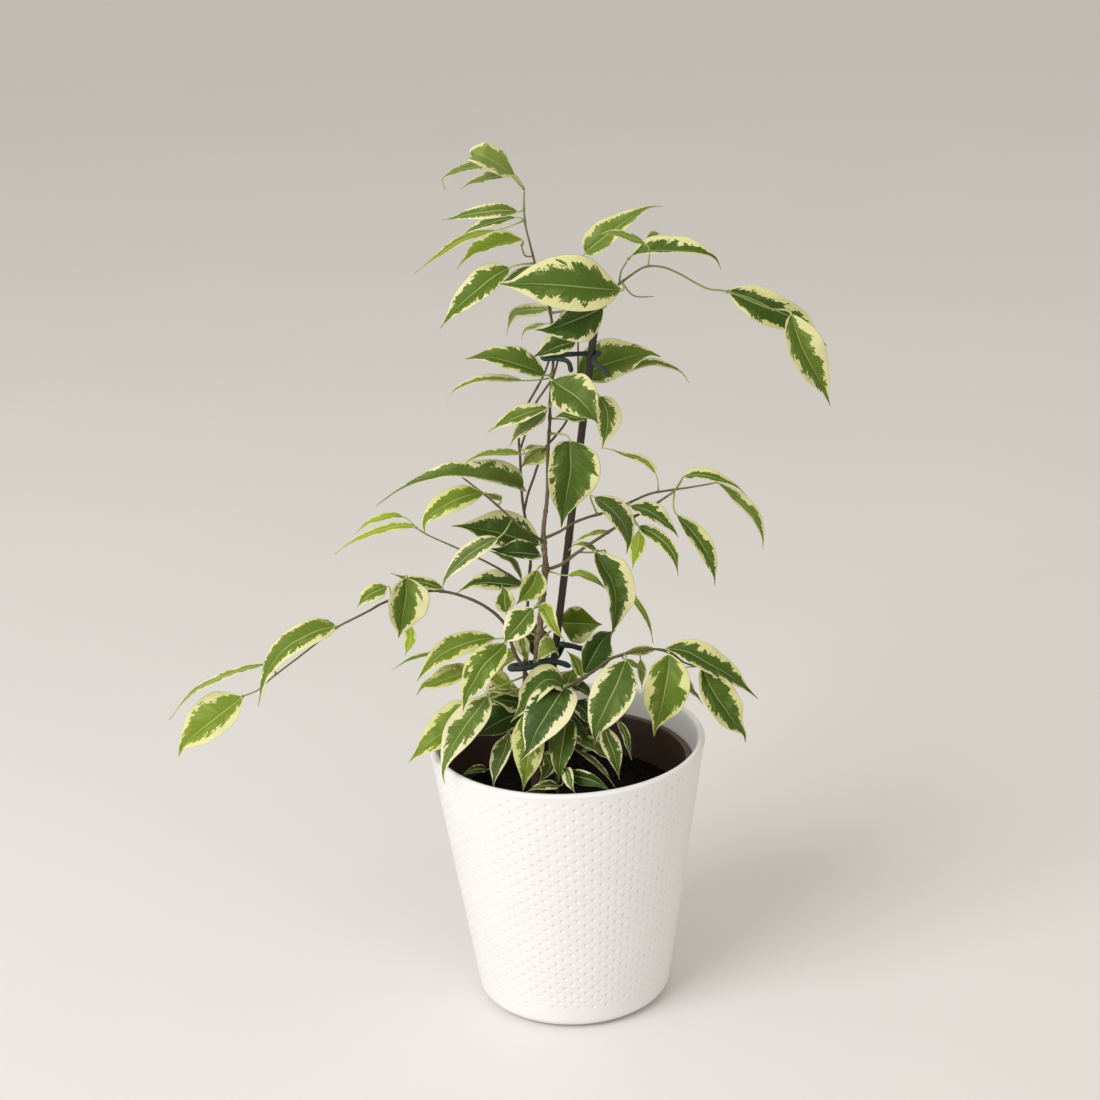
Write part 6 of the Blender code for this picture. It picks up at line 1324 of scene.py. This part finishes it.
cane_brown, tree, shader = new_finish("cane_brown")
round_x, round_y, along = mark("place")
skin_place = add_node(tree, "CombineXYZ", calc(tree, "MULTIPLY", round_x, 5.0), calc(
    tree, "MULTIPLY", round_y, 5.0), calc(tree, "MULTIPLY", along, 0.12)).outputs[0]
fibres = noise_at(tree, skin_place, 1.8, 4.0)
plug(tree, mixed(tree, step_between(tree, fibres, 0.35, 0.7), rgb(0.012, 0.007, 0.005), rgb(0.05, 0.03, 0.019)),
     shader.inputs["Base Color"])
plug(tree, step_between(tree, fibres, 0.3, 0.7, 0.45, 0.68), shader.inputs["Roughness"])
emboss(tree, shader, fibres, 0.12)
make_piece("cane_with_joints", "support_cane", [
    (cane_points, cane_faces, cane_brown, {"place": cane_place})])

# %% [markdown]
# ## Soft ties
# Two lengths of green foam-covered wire hold the stems to the cane: one near the top, one low down.
# Each is one rod bent round the stems and hooked round the cane, with its foam slightly dented.

# %% The two ties
TIE_R = 1.5


def round_cane(z, turn):
    """A place on a tie that hugs the cane: turn in degrees, 0 to the right and 90 to the back."""
    a, r = math.radians(turn), CANE_R + TIE_R + 0.4
    return cane_at(z) + Vector((math.cos(a) * r, math.sin(a) * r, 0))


upper_way = [sight(*p) for p in (
    (9, 353.5, 6), (7.5, 359, 7), (2, 361, 5.5), (-3.5, 361, 3), (-5.2, 361.5, -3), (-4.5, 362, -9),
    (2, 362.5, -11), (9, 363, -10))]
upper_way += [round_cane(361, 105), round_cane(361.5, 50), round_cane(362, 0), round_cane(361.5, -50)]
upper_way += [round_cane(359, -80) + Vector((0.6, -0.8, 0)), sight(24.5, 355, 4), sight(28.5, 350.5, 8)]
lower_way = [sight(*p) for p in (
    (3.5, 190.3, 9), (0, 192, 9), (-6, 193.5, 10), (-14, 191.5, 12), (-21, 190.5, 13), (-27.5, 190, 8),
    (-29, 191, 0), (-27, 192, -9), (-20, 193, -14), (-11, 194, -13), (-4, 196, -10))]
lower_way += [round_cane(201, 20), round_cane(203, -40), round_cane(203.5, -75) + Vector((1, -1, 0))]
lower_way += [sight(3.5, 202.5, -1), sight(9.5, 200.5, -3), sight(14, 199.5, -4.5)]

tie_green, tree, shader = new_finish("tie_green")
grain = place_group(tree, grain_group, Size_mm=0.35, Unevenness=3.0)
plug(tree, mixed(tree, grain["Patches"], rgb(0.006, 0.02, 0.014), rgb(0.02, 0.05, 0.036)),
     shader.inputs["Base Color"])
plug(tree, step_between(tree, grain["Height"], 0.3, 0.7, 0.5, 0.72), shader.inputs["Roughness"])
emboss(tree, shader, grain["Height"], 0.1)
for node, way, radius in (("plant_tie_upper", upper_way, TIE_R * 0.85), ("plant_tie_lower", lower_way, TIE_R)):
    coarse = spline(way, 34)
    line = spline(coarse, 150)
    radii = [radius * (1 + 0.05 * math.sin(i * 0.4)) for i in range(150)]
    for i, share in enumerate((0.45, 0.78, 0.94)):
        radii[i] = radii[-1 - i] = radius * share
    points, faces, place = tube(line, radii, 16, 0.08)
    make_piece(node + "_foam", node, [(points, faces, tie_green, {"place": place})])
print("pieces", len(PIECES), "faces", sum(len(piece.data.polygons) for piece in PIECES))

# %% [markdown]
# ## Floor and light
# A pale table and the soft light of a window on the left: one large area light stands for the window,
# and a dim sky fills the shadows. The floor has a faint mottling, like painted board.

# %% Pale floor
floor_mesh = bpy.data.meshes.new("pale_floor")
reach_m, cuts = 30.0, 24
floor_points = [((i / cuts - 0.5) * 2 * reach_m, (j / cuts - 0.5) * 2 * reach_m, 0.0)
                for j in range(cuts + 1) for i in range(cuts + 1)]
floor_faces = [(j * (cuts + 1) + i, j * (cuts + 1) + i + 1, (j + 1) * (cuts + 1) + i + 1, (j + 1) * (cuts + 1) + i)
               for j in range(cuts) for i in range(cuts)]
floor_mesh.from_pydata(floor_points, [], floor_faces)
floor = bpy.data.objects.new("pale_floor", floor_mesh)
bpy.context.scene.collection.objects.link(floor)
board, tree, shader = new_finish("pale_board")
mottle = noise_at(tree, add_node(tree, "TexCoord").outputs["Object"], 3.0, 3.0)
plug(tree, mixed(tree, mottle, rgb(0.79, 0.78, 0.765), rgb(0.83, 0.82, 0.805)), shader.inputs["Base Color"])
plug(tree, step_between(tree, mottle, 0.3, 0.7, 0.5, 0.6), shader.inputs["Roughness"])
floor_mesh.materials.append(board)

# %% Window light and sky
def soft_light(name, place, target, width, height, power, colour):
    lamp = bpy.data.lights.new(name, "AREA")
    lamp.shape = "RECTANGLE"
    lamp.size, lamp.size_y = width, height
    lamp.energy = power
    lamp.color = colour
    stand = bpy.data.objects.new(name, lamp)
    stand.location = place
    stand.rotation_euler = (Vector(target) - Vector(place)).to_track_quat("-Z", "Y").to_euler()
    bpy.context.scene.collection.objects.link(stand)
    return stand


soft_light("window", (-1.45, -1.35, 1.45), (0.0, 0.0, 0.25), 1.5, 1.7, 40.0, (1.0, 1.0, 1.0))
soft_light("room", (1.2, -1.9, 1.6), (0.0, 0.0, 0.2), 1.8, 1.8, 6.0, (1.0, 0.96, 0.9))
world = bpy.data.worlds.new("soft_room")
world.use_nodes = True
sky = world.node_tree.nodes["Background"]
sky.inputs["Color"].default_value = rgb(1.0, 0.94, 0.86)
sky.inputs["Strength"].default_value = 0.62
bpy.context.scene.world = world
bpy.context.scene.view_settings.view_transform = "Standard"
